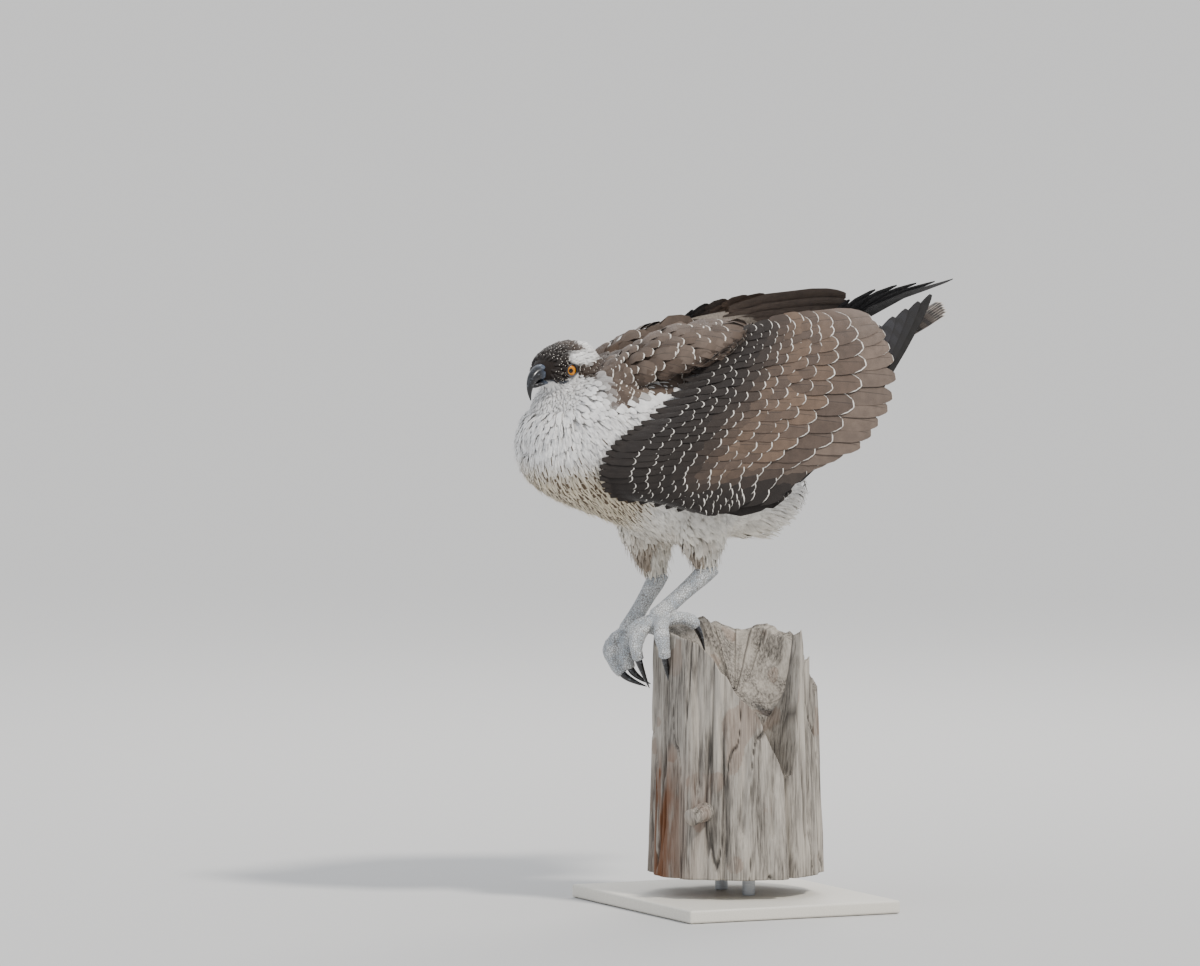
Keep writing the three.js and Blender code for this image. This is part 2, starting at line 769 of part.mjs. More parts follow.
function trunkSplit(turn, share) {
  const degrees = THREE.MathUtils.radToDeg(turn);
  return TRUNK_SPLITS.reduce((deep, [at, depth, low, high]) => {
    const run = smooth(share, low, low + 0.15) * (1 - smooth(share, high - 0.15, high));
    return deep + depth * run * Math.exp(-(((degrees - at) / 2.2) ** 2));
  }, 0);
}
function trunkRadius(turn, share) {
  const ridge =
    2.2 * Math.sin(5 * turn + 1.2) + 1.5 * Math.sin(11 * turn + share * 2) + 1.1 * Math.sin(17 * turn);
  const lobe = 15 * Math.exp(-(((turn - rad(208)) / 0.3) ** 2)) * smooth(share, 0.3, 0.9);
  return lerp(93, 85, share) + ridge + lobe - trunkSplit(turn, share);
}
function trunkSolid() {
  const around = 72;
  const at = (turn, r, z) =>
    V(TRUNK_CENTRE[0] + r * Math.cos(turn), TRUNK_CENTRE[1] + r * Math.sin(turn), z);
  const floor = (turn, share) => 226 - 74 * share * Math.cos(turn - rad(8));
  const ring = (make) =>
    Array.from({ length: around }, (_, k) => make(((k + 0.25) / around) * 2 * Math.PI));
  const rows = [0, 0.2, 0.42, 0.64, 0.84, 1].map((share) =>
    ring((turn) => at(turn, trunkRadius(turn, share), lerp(TRUNK_BOTTOM, trunkRim(turn), share))),
  );
  for (const [share, blend] of [
    [0.87, 0.04],
    [0.74, 0.5],
    [0.5, 0.86],
    [0.22, 1],
  ])
    rows.push(
      ring((turn) =>
        at(
          turn,
          trunkRadius(turn, 1) * share,
          lerp(trunkRim(turn), Math.min(floor(turn, share), trunkRim(turn)), blend) - 2,
        ),
      ),
    );
  const knot = tube(
    [
      [V(TRUNK_CENTRE[0] + 40, -52, 108), 13],
      [V(TRUNK_CENTRE[0] + 60, -66, 109), 11],
      [V(TRUNK_CENTRE[0] + 70, -78, 107), 9],
      [V(TRUNK_CENTRE[0] + 74, -88, 105), 9.6],
    ],
    12,
  );
  return join([loft(rows), knot]);
}

const materials = {};
function material(name, colour, roughness, metalness = 0) {
  materials[name] = new THREE.MeshStandardMaterial({ color: colour, roughness, metalness, name });
}
material("white_plumage", "#e9e6df", 0.85);
material("brown_plumage", "#57493f", 0.75);
material("dark_plumage", "#221d1b", 0.7);
material("bill_horn", "#3c4350", 0.35);
material("eye", "#e79a10", 0.05);
material("claw_horn", "#1b1a1c", 0.35);
material("foot_skin", "#aeb6bd", 0.7);
material("weathered_wood", "#8b867e", 0.9);
material("stand_board", "#d8d3c8", 0.6);
material("stand_steel", "#8e9092", 0.35, 1);

const bird = new THREE.Group();
bird.position.x = MIDLINE_X;
const root = new THREE.Group();
root.add(bird);

function addMesh(group, name, solid, look) {
  const kept = largest(solid);
  const mesh = kept.getMesh();
  const places = new Float32Array(mesh.numVert * 3);
  for (let i = 0; i < mesh.numVert; i++)
    places.set(mesh.vertProperties.subarray(i * mesh.numProp, i * mesh.numProp + 3), i * 3);
  const geometry = new THREE.BufferGeometry();
  geometry.setAttribute("position", new THREE.BufferAttribute(places, 3));
  geometry.setIndex(new THREE.BufferAttribute(new Uint32Array(mesh.triVerts), 1));
  geometry.computeVertexNormals();
  const made = new THREE.Mesh(geometry, materials[look]);
  made.name = name;
  group.add(made);
}

const mirrored = (solid) => solid.mirror([1, 0, 0]);
const liftedWing = (solid) =>
  mirrored(solid)
    .translate([SHOULDER.x, -SHOULDER.y, -SHOULDER.z])
    .rotate([FAR_WING_LIFT, 0, 0])
    .translate([-SHOULDER.x, SHOULDER.y, SHOULDER.z]);

// Torso, neck and head meet at thin gaps.
const torso = torsoSolid();
const torsoGrown = torsoSolid(GAP);
const neck = neckSolid().subtract(torsoGrown).subtract(headSolid(GAP));
const headBody = join([headSolid(), lidSolid(1), lidSolid(-1)]);
const billUpper = billSolid(UPPER_BILL, 14);
const billLower = billSolid(LOWER_BILL, 12).subtract(billSolid(UPPER_BILL, 14, GAP));
const head = headBody
  .subtract(torsoGrown)
  .subtract(ballSolid(eyeCentre(1), EYE_RADIUS + 0.45, 16, 10))
  .subtract(ballSolid(eyeCentre(-1), EYE_RADIUS + 0.45, 16, 10))
  .subtract(billSolid(UPPER_BILL, 14, GAP + 0.05))
  .subtract(billSolid(LOWER_BILL, 12, GAP + 0.1));
addMesh(bird, "torso", torso, "white_plumage");
addMesh(bird, "neck", neck, "white_plumage");
addMesh(bird, "head", head, "white_plumage");

// Nostrils: a slanting slit on each side of the cere.
const nostril = (side) =>
  tube(
    [
      [inHead(BILL_BASE + 4.5, side * 10, 6.4), 0.7, 1.5],
      [inHead(BILL_BASE + 8.5, side * 6.4, 5.4), 0.7, 1.5],
    ],
    8,
  );
addMesh(bird, "bill_upper", billUpper.subtract(nostril(1)).subtract(nostril(-1)), "bill_horn");
addMesh(bird, "bill_lower", billLower, "bill_horn");
addMesh(bird, "eye_left", ballSolid(eyeCentre(1), EYE_RADIUS, 16, 10), "eye");
addMesh(bird, "eye_right", ballSolid(eyeCentre(-1), EYE_RADIUS, 16, 10), "eye");

// Legs and feet.
const feetGrown = [];
for (const [name, leg] of Object.entries(LEGS)) {
  const footGrown = footSolid(leg, TOES[name], GAP);
  const shank = tube(shankStops(leg, 0), 12, V(1, 0, 0)).subtract(footGrown);
  const thigh = thighSolid(leg).subtract(torsoGrown);
  const shankGrown = tube(shankStops(leg, 0), 12, V(1, 0, 0), GAP);
  const toes = TOES[name];
  const foot = footSolid(leg, toes);
  addMesh(bird, `thigh_${name}`, thigh.subtract(shankGrown), "white_plumage");
  addMesh(bird, `shank_${name}`, shank, "foot_skin");
  addMesh(bird, `foot_${name}`, foot, "foot_skin");
  feetGrown.push(footSolid(leg, toes, GAP + 0.12));
  toes.forEach((toe, i) => {
    const claw = clawSolid(leg, toe, CLAW_CURLS[name][i]).subtract(footGrown);
    addMesh(bird, `claw_${name}_${i + 1}`, claw, "claw_horn");
    feetGrown.push(clawSolid(leg, toe, CLAW_CURLS[name][i], GAP));
  });
  feetGrown.push(shankGrown);
}

// Tail and the tufts under it.
const tail = tailSolid().subtract(torsoGrown);
addMesh(bird, "tail", tail, "brown_plumage");
const rightThighLeft = Object.values(LEGS).map((leg) => thighSolid(leg).translate([0, GAP, 0]));
const vent = rightThighLeft.reduce((rest, thigh) => rest.subtract(thigh), ventSolid().subtract(torsoGrown));
addMesh(bird, "vent_tufts", vent, "white_plumage");

// Wings: the left is made, and the right is its mirror image, lifted a little.
const arm = upperArm();
const armGrown = upperArm(0.75);
const inner = innerWing();
const hands = { left: handWing(HAND_PATH), right: mirrored(handWing(FAR_HAND_PATH)) };
const clear = (solid, others) => others.reduce((rest, other) => rest.subtract(other), solid);
const asMade = (solid) => solid;
const farArm = (solid) => mirrored(solid).translate([0, 0, -FAR_ARM_DROP]);
for (const [name, turn, setArm] of [
  ["left", asMade, asMade],
  ["right", liftedWing, farArm],
]) {
  const folded = clear(turn(inner), [setArm(armGrown), torsoGrown]);
  const upper = clear(setArm(arm), [torsoGrown, neckSolid(GAP), headSolid(2 * GAP)]);
  addMesh(bird, `wing_${name}_upper`, upper, "brown_plumage");
  addMesh(bird, `wing_${name}_inner`, folded, "brown_plumage");
  addMesh(bird, `wing_${name}_hand`, clear(hands[name], [torsoGrown]), "dark_plumage");
}

// Perch and stand.
const trunk = clear(
  trunkSolid(),
  feetGrown,
);
addMesh(bird, "perch_trunk", trunk, "weathered_wood");
const base = new THREE.Mesh(new THREE.BoxGeometry(...BASE_SIZE), materials.stand_board);
base.name = "stand_base";
base.position.z = BASE_SIZE[2] / 2;
root.add(base);
for (const [name, x] of [
  ["stand_rod_left", 34],
  ["stand_rod_right", -34],
]) {
  const length = TRUNK_BOTTOM - BASE_SIZE[2] - 2 * GAP;
  const rod = new THREE.Mesh(
    new THREE.CylinderGeometry(ROD_RADIUS, ROD_RADIUS, length, 24),
    materials.stand_steel,
  );
  rod.name = name;
  rod.rotation.x = Math.PI / 2;
  rod.position.set(x, 0, BASE_SIZE[2] + GAP + length / 2);
  root.add(rod);
}

export default root;
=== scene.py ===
# A life-size osprey on the broken top of a weathered trunk, with its plumage, bare parts and stand.
# Sizes are millimetres in the bird's own frame until a mesh is made, and metres after that.
# In that frame x runs from the bird's midline, y towards its tail and z up from the floor.
import math
from collections import namedtuple

import bmesh
import bpy
import numpy as np
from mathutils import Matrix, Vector, kdtree
from mathutils.bvhtree import BVHTree

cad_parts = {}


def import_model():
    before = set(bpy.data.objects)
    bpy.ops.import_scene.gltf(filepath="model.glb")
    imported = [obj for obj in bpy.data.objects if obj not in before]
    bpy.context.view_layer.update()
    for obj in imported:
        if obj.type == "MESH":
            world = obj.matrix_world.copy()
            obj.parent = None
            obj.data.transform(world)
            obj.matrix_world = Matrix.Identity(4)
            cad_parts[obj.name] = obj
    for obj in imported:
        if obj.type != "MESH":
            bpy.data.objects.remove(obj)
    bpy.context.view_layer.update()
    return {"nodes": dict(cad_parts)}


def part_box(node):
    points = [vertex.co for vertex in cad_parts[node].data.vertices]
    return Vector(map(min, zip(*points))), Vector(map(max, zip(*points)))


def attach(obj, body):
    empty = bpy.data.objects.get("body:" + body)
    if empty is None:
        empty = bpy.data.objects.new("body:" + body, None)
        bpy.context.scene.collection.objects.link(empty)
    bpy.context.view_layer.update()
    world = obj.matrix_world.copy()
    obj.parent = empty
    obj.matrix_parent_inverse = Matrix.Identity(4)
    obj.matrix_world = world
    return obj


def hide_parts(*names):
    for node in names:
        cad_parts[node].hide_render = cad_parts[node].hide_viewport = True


bl_info = {
    "name": "Osprey on a trunk",
    "version": (1, 0, 0),
    "blender": (4, 5, 0),
    "location": "View3D > Sidebar > Osprey",
    "description": "Builds the plumage, bare parts, perch and stand of a life-size osprey",
    "category": "Add Mesh",
}

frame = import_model()

MM = 0.001
MIDLINE_X = -48.0
SEED = 11
VIEW_TURN, VIEW_TILT = 65, 4  # degrees
CAMERA_DISTANCE = 12.0  # metres
VIEW_WIDTH = 1.296  # metres seen across the picture
SENSOR_WIDTH = 36.0
FLOOR_SIZE = 400.0  # metres
WISP_DRAWS = 60000
PIECE_FEATHERS = 4200  # the most in one piece
PRIMARIES, RECTRICES = 7, 12
HEAD_BOTTOM, THIGH_TOP = 540, 400
WALL_RADIUS = 85  # of the trunk, for its grain
SCALE_PALE, SCALE_BLUE = "#dcdedf", "#b4bcc4"
IRIS_YELLOW, IRIS_ORANGE = "#f0a312", "#d9780a"
WOOD_DARK, WOOD_PALE = "#55504a", "#a8a197"
IRIS_RADIUS, PUPIL_RADIUS, IRIS_DISH, PUPIL_DEPTH = 6.4, 2.3, 0.9, 0.5
BAKE_PATCH = 0.003
# Small feathers by place, in millimetres. Without a depth they stand as deep as the coat.
Coat = namedtuple("Coat", "gap length half depth")
THIGH_COAT = Coat(3.9, 14.0, 2.6, 4.0)
SHOULDER_COAT = Coat(4.2, 16.0, 3.1, None)
BREAST_COAT = Coat(4.7, 21.0, 3.9, None)
BACK_COAT = Coat(8.5, 20.0, 6.0, 5.0)

TORSO_STATIONS = [  # y, top, bottom, half width
    (-225, 507, 482, 20),
    (-216, 535, 462, 42),
    (-200, 556, 448, 57),
    (-172, 580, 434, 69),
    (-135, 598, 420, 76),
    (-90, 606, 402, 78),
    (-40, 610, 388, 76),
    (10, 607, 396, 68),
    (55, 592, 424, 56),
    (90, 572, 468, 42),
    (118, 560, 500, 28),
]
NECK_STATIONS = [  # z, middle y, half width, half length
    (470, -165, 40, 42),
    (500, -168, 46, 48),
    (525, -171, 47, 49),
    (546, -171, 43, 46),
    (560, -167, 36, 40),
    (570, -163, 28, 32),
]
HEAD_CENTRE = np.array((3.0, -192.0, 580.0))
HEAD_TURN = 29.0
HEAD_NOD = 6.0
HEAD_STATIONS = [  # forward, half width, top, bottom
    (31, 11, 12, -5),
    (25, 17, 17, -11.5),
    (18, 21, 21, -16),
    (10, 24, 24.5, -19.5),
    (1, 26, 27, -23),
    (-9, 28, 29, -27),
    (-20, 29, 30, -31),
    (-31, 29, 29.5, -34),
    (-42, 27, 26, -35),
    (-52, 22, 18, -31),
    (-60, 12, 5, -20),
]
EYE_RADIUS = 8.6
EYE_PLACE = (2.5, 19.0, 2.0)
BILL_BASE = 23.0
UPPER_BILL = [  # forward, up, half width, half height, lean
    (BILL_BASE - 6, 3.6, 9.6, 8.4, 0),
    (BILL_BASE + 1, 3.6, 9.8, 8.6, 4),
    (BILL_BASE + 8, 3, 8.8, 8.2, 10),
    (BILL_BASE + 15, 1.4, 7, 7, 22),
    (BILL_BASE + 21, -2.6, 5.4, 5.8, 42),
    (BILL_BASE + 25, -8.4, 3.9, 4.3, 62),
    (BILL_BASE + 26.6, -14.8, 2.5, 2.8, 80),
    (BILL_BASE + 26.2, -20.4, 1.3, 1.5, 92),
    (BILL_BASE + 25.4, -24.4, 0.5, 0.6, 96),
]
LOWER_BILL = [
    (BILL_BASE - 9, -7.4, 7.6, 2.6, 0),
    (BILL_BASE + 2, -7.8, 7.4, 3.2, 0),
    (BILL_BASE + 11, -8.6, 6.2, 3.2, 0),
    (BILL_BASE + 17, -9.6, 4.2, 2.6, 6),
    (BILL_BASE + 20.5, -10.4, 1.6, 1.2, 10),
]
SHOULDER = np.array((54.0, -112.0, 548.0))
LEADING = [
    (76, 0, 622),
    (88, -34, 588),
    (100, -78, 546),
    (106, -120, 514),
    (106, -146, 480),
    (104, -138, 448),
    (104, -84, 430),
]
TRAILING = [
    (24, 171, 636),
    (42, 191, 601),
    (66, 180, 543),
    (84, 135, 499),
    (94, 74, 478),
    (102, 31, 451),
]
WING_BULGE = 17.0
FAR_ARM_DROP = 4.0
FAR_WING_LIFT = 4.0
HAND_PATH = [(76, -112, 464), (75, -40, 448), (71, 50, 464), (55, 128, 532), (35, 188, 603), (12, 240, 661)]
FAR_HAND_PATH = [
    (76, -106, 464), (75, -33, 453), (68, 52, 474), (50, 122, 552), (26, 188, 640), (6, 288, 678),
]
UPPER_ARM = [  # x, y, z, half width, half height
    (34, -150, 572, 20, 10),
    (44, -120, 585, 29, 15),
    (53, -84, 600, 33, 15),
    (60, -48, 611, 31, 13),
    (62, -14, 619, 25, 9),
    (60, 14, 624, 16, 5),
]
TAIL_BASE = np.array((0.0, 92.0, 545.0))
TAIL_RISE = 29.0
TAIL_LENGTH = 205.0
LEGS = {
    "left": {"hip": (34, -28, 440), "heel": (40, -30, 362), "ankle": (34, -85, 316)},
    "right": {"hip": (-34, -60, 432), "heel": (-32, -55, 350), "ankle": (-34, -88, 298)},
}
TOES = {  # points from the ankle, and the radius at each
    "left": [
        [(0, -4, -6, 9), (2, -18, -13, 7.8), (3, -27, -25, 8.4), (4, -28, -37, 7), (3, -25, -47, 6.8)],
        [(8, 0, -6, 9), (22, -7, -11, 8), (30, -10, -21, 8.8), (33, -9, -33, 7.2), (31, -7, -43, 7.4)],
        [(4, 8, -5, 8.4), (10, 22, -3, 7.4), (14, 32, -6, 8), (15, 38, -13, 6.4)],
        [(-6, 0, -6, 8.4), (-16, -10, -9, 7.2), (-21, -18, -16, 7.8), (-21, -20, -26, 6.2)],
    ],
    "right": [
        [(0, -4, -7, 9), (4, -17, -15, 8), (7, -22, -28, 8.4), (11, -21, -40, 7), (16, -15, -49, 6.4)],
        [(-6, 0, -6, 8.8), (-15, -9, -13, 7.6), (-17, -15, -26, 8.2), (-12, -13, -38, 6.8)],
        [(6, -2, -8, 8.4), (16, -10, -18, 7.4), (19, -12, -31, 8), (21, -8, -43, 6.4)],
        [(2, 8, -4, 8.4), (2, 20, -1, 7.2), (3, 31, -3, 7.8), (5, 38, -10, 6.2)],
    ],
}
CLAW_CURLS = {
    "left": [(-2, 12, -22), (-4, 8, -22), (0, 2, -20), (0, 8, -20)],
    "right": [(14, 16, -4), (8, 16, -8), (8, 18, -6), (2, 2, -20)],
}
THIGH_STATIONS = [(0, 31, -8), (0.25, 30, -8), (0.5, 25, -6), (0.72, 18.5, -4), (0.9, 12.5, -1), (1, 9.5, 0)]
SHANK_STATIONS = [(-0.12, 9.9), (0.1, 10.3), (0.35, 9.1), (0.6, 8.7), (0.85, 9.1), (1.05, 10.0)]
CLAW_STATIONS = [(0, 4.3), (0.22, 4.1), (0.45, 3.4), (0.7, 2.3), (0.88, 1.3), (1, 0.4)]
TRUNK_BOTTOM = 36.0
TRUNK_RIM = [  # turn round the trunk in degrees, height of the rim
    (0, 182), (14, 138), (22, 150), (29, 262), (34, 304), (41, 262), (50, 272), (60, 228), (80, 246),
    (105, 288), (130, 298), (155, 292), (180, 306), (205, 296), (225, 280), (245, 276), (262, 292),
    (280, 300), (304, 290), (316, 275), (326, 257), (338, 230), (350, 214), (360, 182),
]


def linear(hex_colour):
    """An sRGB hex value as linear red, green, blue and 1."""
    parts = [int(hex_colour[i : i + 2], 16) / 255 for i in (1, 3, 5)]
    return tuple(c / 12.92 if c <= 0.04045 else ((c + 0.055) / 1.055) ** 2.4 for c in parts) + (1.0,)


def colour(hex_colour):
    return np.array(linear(hex_colour)[:3])


def mix(a, b, share):
    share = np.asarray(share)[..., None]
    return np.asarray(a) * (1 - share) + np.asarray(b) * share


def ramp(x, start, end):
    k = np.clip((np.asarray(x, float) - start) / (end - start), 0, 1)
    return k * k * (3 - 2 * k)


def unit(v):
    v = np.asarray(v, float)
    return v / np.maximum(np.linalg.norm(v, axis=-1, keepdims=True), 1e-9)


def world(points):
    return (np.asarray(points, float) + (MIDLINE_X, 0, 0)) * MM


def curve(points, share):
    """A smooth curve through rows of numbers, run on past its ends along its end slopes."""
    p = np.asarray(points, float)
    p = np.vstack([2 * p[0] - p[1], p, 2 * p[-1] - p[-2]])
    last = len(points) - 1
    kept = np.clip(share, 0, 1)
    beyond = ((np.asarray(share, float) - kept) * last)[..., None]
    i = np.minimum((kept * last).astype(int), last - 1)
    f = (kept * last - i)[..., None]
    a, b = p[i + 1], p[i + 2]
    da, db = (b - p[i]) / 2, (p[i + 3] - a) / 2
    hermite = (
        a * (2 * f**3 - 3 * f**2 + 1) + da * (f**3 - 2 * f**2 + f)
        + b * (3 * f**2 - 2 * f**3) + db * (f**3 - f**2)
    )
    return hermite + beyond * np.where(beyond < 0, da, db)


def lattice(cells):
    """A fixed random number from 0 to 1 for each whole-number cell."""
    c = cells.astype(np.int64)
    n = (c[..., 0] * 73856093) ^ (c[..., 1] * 19349663) ^ (c[..., 2] * 83492791)
    n = (n ^ (n >> 13)) * 1274126177 & 0x7FFFFFFF
    return ((n ^ (n >> 16)) & 0xFFFF) / 65535.0


def drift(points, size):
    """Smooth noise from 0 to 1 whose lumps are about that many millimetres across."""
    q = np.asarray(points, float) / np.asarray(size, float) + 517.3
    base = np.floor(q)
    f = q - base
    f = f * f * (3 - 2 * f)
    total = 0
    for corner in range(8):
        o = np.array([corner & 1, corner >> 1 & 1, corner >> 2 & 1])
        w = np.prod(np.where(o == 1, f, 1 - f), axis=-1)
        total = total + w * lattice(base + o)
    return total


# The head's own frame: forward, left and up.
_turn, _nod = math.radians(HEAD_TURN - 90), math.radians(HEAD_NOD)
HEAD_AXES = np.array(
    [
        (math.cos(_turn) * math.cos(_nod), math.sin(_turn) * math.cos(_nod), -math.sin(_nod)),
        (-math.sin(_turn), math.cos(_turn), 0),
        (math.cos(_turn) * math.sin(_nod), math.sin(_turn) * math.sin(_nod), math.cos(_nod)),
    ]
)


def in_head(forward, left, up):
    return HEAD_CENTRE + np.stack(np.broadcast_arrays(forward, left, up), -1) @ HEAD_AXES


def head_place(points):
    q = (points - HEAD_CENTRE) @ HEAD_AXES.T
    return q[..., 0], q[..., 1], q[..., 2]


def placed(points, side):
    """A point of the left wing, or its place in the right wing, which is lifted a little."""
    points = np.array(points, float)
    if side > 0:
        return points
    points[..., 0] *= -1
    lift = math.radians(FAR_WING_LIFT)
    y, z = points[..., 1] - SHOULDER[1], points[..., 2] - SHOULDER[2]
    points[..., 1] = SHOULDER[1] + y * math.cos(lift) - z * math.sin(lift)
    points[..., 2] = SHOULDER[2] + y * math.sin(lift) + z * math.cos(lift)
    return points


# Materials


def add_node(tree, kind, settings=None, **links):
    """One node with its settings, and its inputs set or linked by name or number."""
    made = tree.nodes.new(kind)
    for key, value in (settings or {}).items():
        setattr(made, key, value)
    for key, value in links.items():
        name = key.replace("_", " ") if not key.startswith("n") or not key[1:].isdigit() else int(key[1:])
        socket = made.inputs[name]
        if isinstance(value, bpy.types.NodeSocket):
            tree.links.new(value, socket)
        else:
            socket.default_value = value
    return made


def calc(tree, operation, a, b=0.0, c=0.0):
    made = add_node(tree, "ShaderNodeMath", {"operation": operation}, n0=a, n1=b)
    if operation in ("MULTIPLY_ADD", "SMOOTH_MIN"):
        add = made.inputs[2]
        if isinstance(c, bpy.types.NodeSocket):
            tree.links.new(c, add)
        else:
            add.default_value = c
    return made.outputs[0]


def between(tree, value, start, end, low=0.0, high=1.0):
    made = add_node(tree, "ShaderNodeMapRange", {"interpolation_type": "SMOOTHSTEP"}, Value=value)
    for name, number in (("From Min", start), ("From Max", end), ("To Min", low), ("To Max", high)):
        if isinstance(number, bpy.types.NodeSocket):
            tree.links.new(number, made.inputs[name])
        else:
            made.inputs[name].default_value = number
    return made.outputs["Result"]


def times(tree, a, b):
    return calc(tree, "MULTIPLY", a, b)


def attribute(tree, name):
    return add_node(tree, "ShaderNodeAttribute", {"attribute_name": name})


def noise(tree, millimetres, detail, roughness=0.5):
    """Noise from 0 to 1 with lumps of that many millimetres along x, y and z."""
    where = object_place(tree, millimetres)
    made = add_node(tree, "ShaderNodeTexNoise", Vector=where, Scale=1.0, Detail=detail, Roughness=roughness)
    return made.outputs[0]


def paint(tree, shader, tone):
    tree.links.new(tone, shader.inputs["Base Color"])


def shaded(tree, tone, tint):
    """A colour made lighter or darker by a number."""
    grey = add_node(tree, "ShaderNodeCombineColor", Red=tint, Green=tint, Blue=tint).outputs[0]
    return blend_colour(tree, 1.0, tone, grey, "MULTIPLY")


def blend_colour(tree, share, a, b, way="MIX"):
    made = add_node(tree, "ShaderNodeMix", {"data_type": "RGBA", "blend_type": way}, n0=share, n6=a, n7=b)
    return made.outputs[2]


def new_material(name, roughness, specular=0.5, sheen=0.0, coat=0.0):
    """A material with one surface shader, whose plain numbers sit on the shader itself."""
    material = bpy.data.materials.new(name)
    material.use_nodes = True
    shader = material.node_tree.nodes["Principled BSDF"]
    shader.inputs["Roughness"].default_value = roughness
    shader.inputs["Specular IOR Level"].default_value = specular
    shader.inputs["Sheen Weight"].default_value = sheen
    shader.inputs["Sheen Roughness"].default_value = 0.5
    shader.inputs["Coat Weight"].default_value = coat
    shader.inputs["Coat Roughness"].default_value = 0.1
    return material, material.node_tree, shader


def object_place(tree, millimetres):
    """Object coordinates, scaled so that one unit is that many millimetres."""
    where = add_node(tree, "ShaderNodeTexCoord").outputs["Object"]
    k = 1000 / np.broadcast_to(np.asarray(millimetres, float), 3)
    return add_node(tree, "ShaderNodeMapping", Vector=where, Scale=tuple(k)).outputs[0]


def raise_surface(tree, shader, height, depth, strength=1.0):
    """Bump whose full height is that many millimetres."""
    made = add_node(tree, "ShaderNodeBump", Height=height, Strength=strength, Distance=depth * MM)
    tree.links.new(made.outputs[0], shader.inputs["Normal"])


def feather_keratin():
    """Grown feather: matt barbs either side of a shaft, each vane with its own ground and fringe."""
    material, tree, shader = new_material("feather_keratin_grown", 0.62, 0.3, 0.12)
    vane = attribute(tree, "vane")
    plume = attribute(tree, "plume")
    ground = attribute(tree, "ground")
    fringe = attribute(tree, "fringe")
    across, along, half = add_node(tree, "ShaderNodeSeparateXYZ", Vector=vane.outputs["Vector"]).outputs
    length, _, edge = add_node(tree, "ShaderNodeSeparateXYZ", Vector=plume.outputs["Vector"]).outputs
    off = calc(tree, "ABSOLUTE", across)
    from_side = times(tree, calc(tree, "SUBTRACT", 1.0, off), half)
    from_tip = times(tree, calc(tree, "SUBTRACT", 1.0, along), length)
    side_fade = calc(tree, "ADD", from_side, between(tree, along, 0.55, 0.96, 7.0, 0.5))
    rim = calc(tree, "SMOOTH_MIN", side_fade, from_tip, 0.5)
    ragged = noise(tree, 1.6, 2.0)
    rim = calc(tree, "MULTIPLY_ADD", ragged, -0.9, calc(tree, "ADD", rim, 0.45))
    offset = times(tree, off, half)
    run = times(tree, along, length)
    barb_line = calc(tree, "MULTIPLY_ADD", offset, -1.3, run)
    barb_wave = calc(tree, "MULTIPLY_ADD", barb_line, 5.2, times(tree, ragged, 5.0))
    barbs = calc(tree, "SINE", barb_wave)
    tint = between(tree, barbs, -1.0, 1.0, 0.86, 1.08)
    grain = noise(tree, 9.0, 3.0)
    tint = times(tree, tint, between(tree, grain, 0.3, 0.7, 0.88, 1.1))
    body = shaded(tree, ground.outputs["Color"], tint)
    bar_wave = calc(tree, "SINE", calc(tree, "MULTIPLY_ADD", run, 0.42, times(tree, off, 1.4)))
    bars = times(tree, between(tree, bar_wave, -0.1, 0.5), fringe.outputs["Alpha"])
    body = blend_colour(tree, bars, body, (0.012, 0.01, 0.009, 1.0))
    streak_reach = times(tree, ground.outputs["Alpha"], between(tree, along, 0.3, 0.75))
    streak = between(tree, offset, streak_reach, times(tree, streak_reach, 0.5))
    streak = times(tree, streak, between(tree, streak_reach, 0.05, 0.4))
    streak = times(tree, streak, between(tree, from_tip, 0.2, 1.6))
    body = blend_colour(tree, streak, body, (0.1, 0.066, 0.036, 1.0))
    shaft = between(tree, offset, 0.55, 0.25)
    shaft = times(tree, shaft, between(tree, half, 5.0, 9.0, 0.0, 0.6))
    body = blend_colour(tree, shaft, body, (0.02, 0.015, 0.012, 1.0))
    border = between(tree, rim, edge, times(tree, edge, 0.55))
    border = times(tree, border, between(tree, edge, 0.02, 0.2))
    body = blend_colour(tree, border, body, fringe.outputs["Color"])
    paint(tree, shader, body)
    raise_surface(tree, shader, calc(tree, "MULTIPLY_ADD", shaft, 1.5, barbs), 0.12, 0.7)
    return material


def bare_skin():
    """Skin under the plumage: matt, marked as the coat over it is."""
    material, tree, shader = new_material("feathered_skin_down", 0.85, 0.2, 0.1)
    ground = attribute(tree, "ground")
    down = noise(tree, (1.5, 1.5, 5), 4.0)
    tint = between(tree, down, 0.25, 0.75, 0.7, 1.0)
    paint(tree, shader, shaded(tree, ground.outputs["Color"], tint))
    raise_surface(tree, shader, down, 0.6)
    return material


def scaled_skin():
    """Net-like horny scales of a bare leg, pale blue-grey with dirt between them."""
    material, tree, shader = new_material("leg_scale_keratin", 0.55, 0.4)
    where = object_place(tree, 2.3)
    edges = add_node(tree, "ShaderNodeTexVoronoi", {"feature": "DISTANCE_TO_EDGE"}, Vector=where, Scale=1.0)
    cells = add_node(tree, "ShaderNodeTexVoronoi", Vector=where, Scale=1.0)
    wear = noise(tree, 11, 4.0)
    plate = blend_colour(tree, between(tree, wear, 0.35, 0.65), linear(SCALE_PALE), linear(SCALE_BLUE))
    shade = add_node(tree, "ShaderNodeSeparateColor", Color=cells.outputs["Color"]).outputs[0]
    plate = blend_colour(tree, between(tree, shade, 0.0, 1.0, 0.0, 0.25), plate, linear("#e4e4de"))
    groove = between(tree, edges.outputs["Distance"], 0.02, 0.16)
    paint(tree, shader, blend_colour(tree, groove, linear("#85837f"), plate))
    raise_surface(tree, shader, between(tree, edges.outputs["Distance"], 0.0, 0.35), 0.5)
    return material


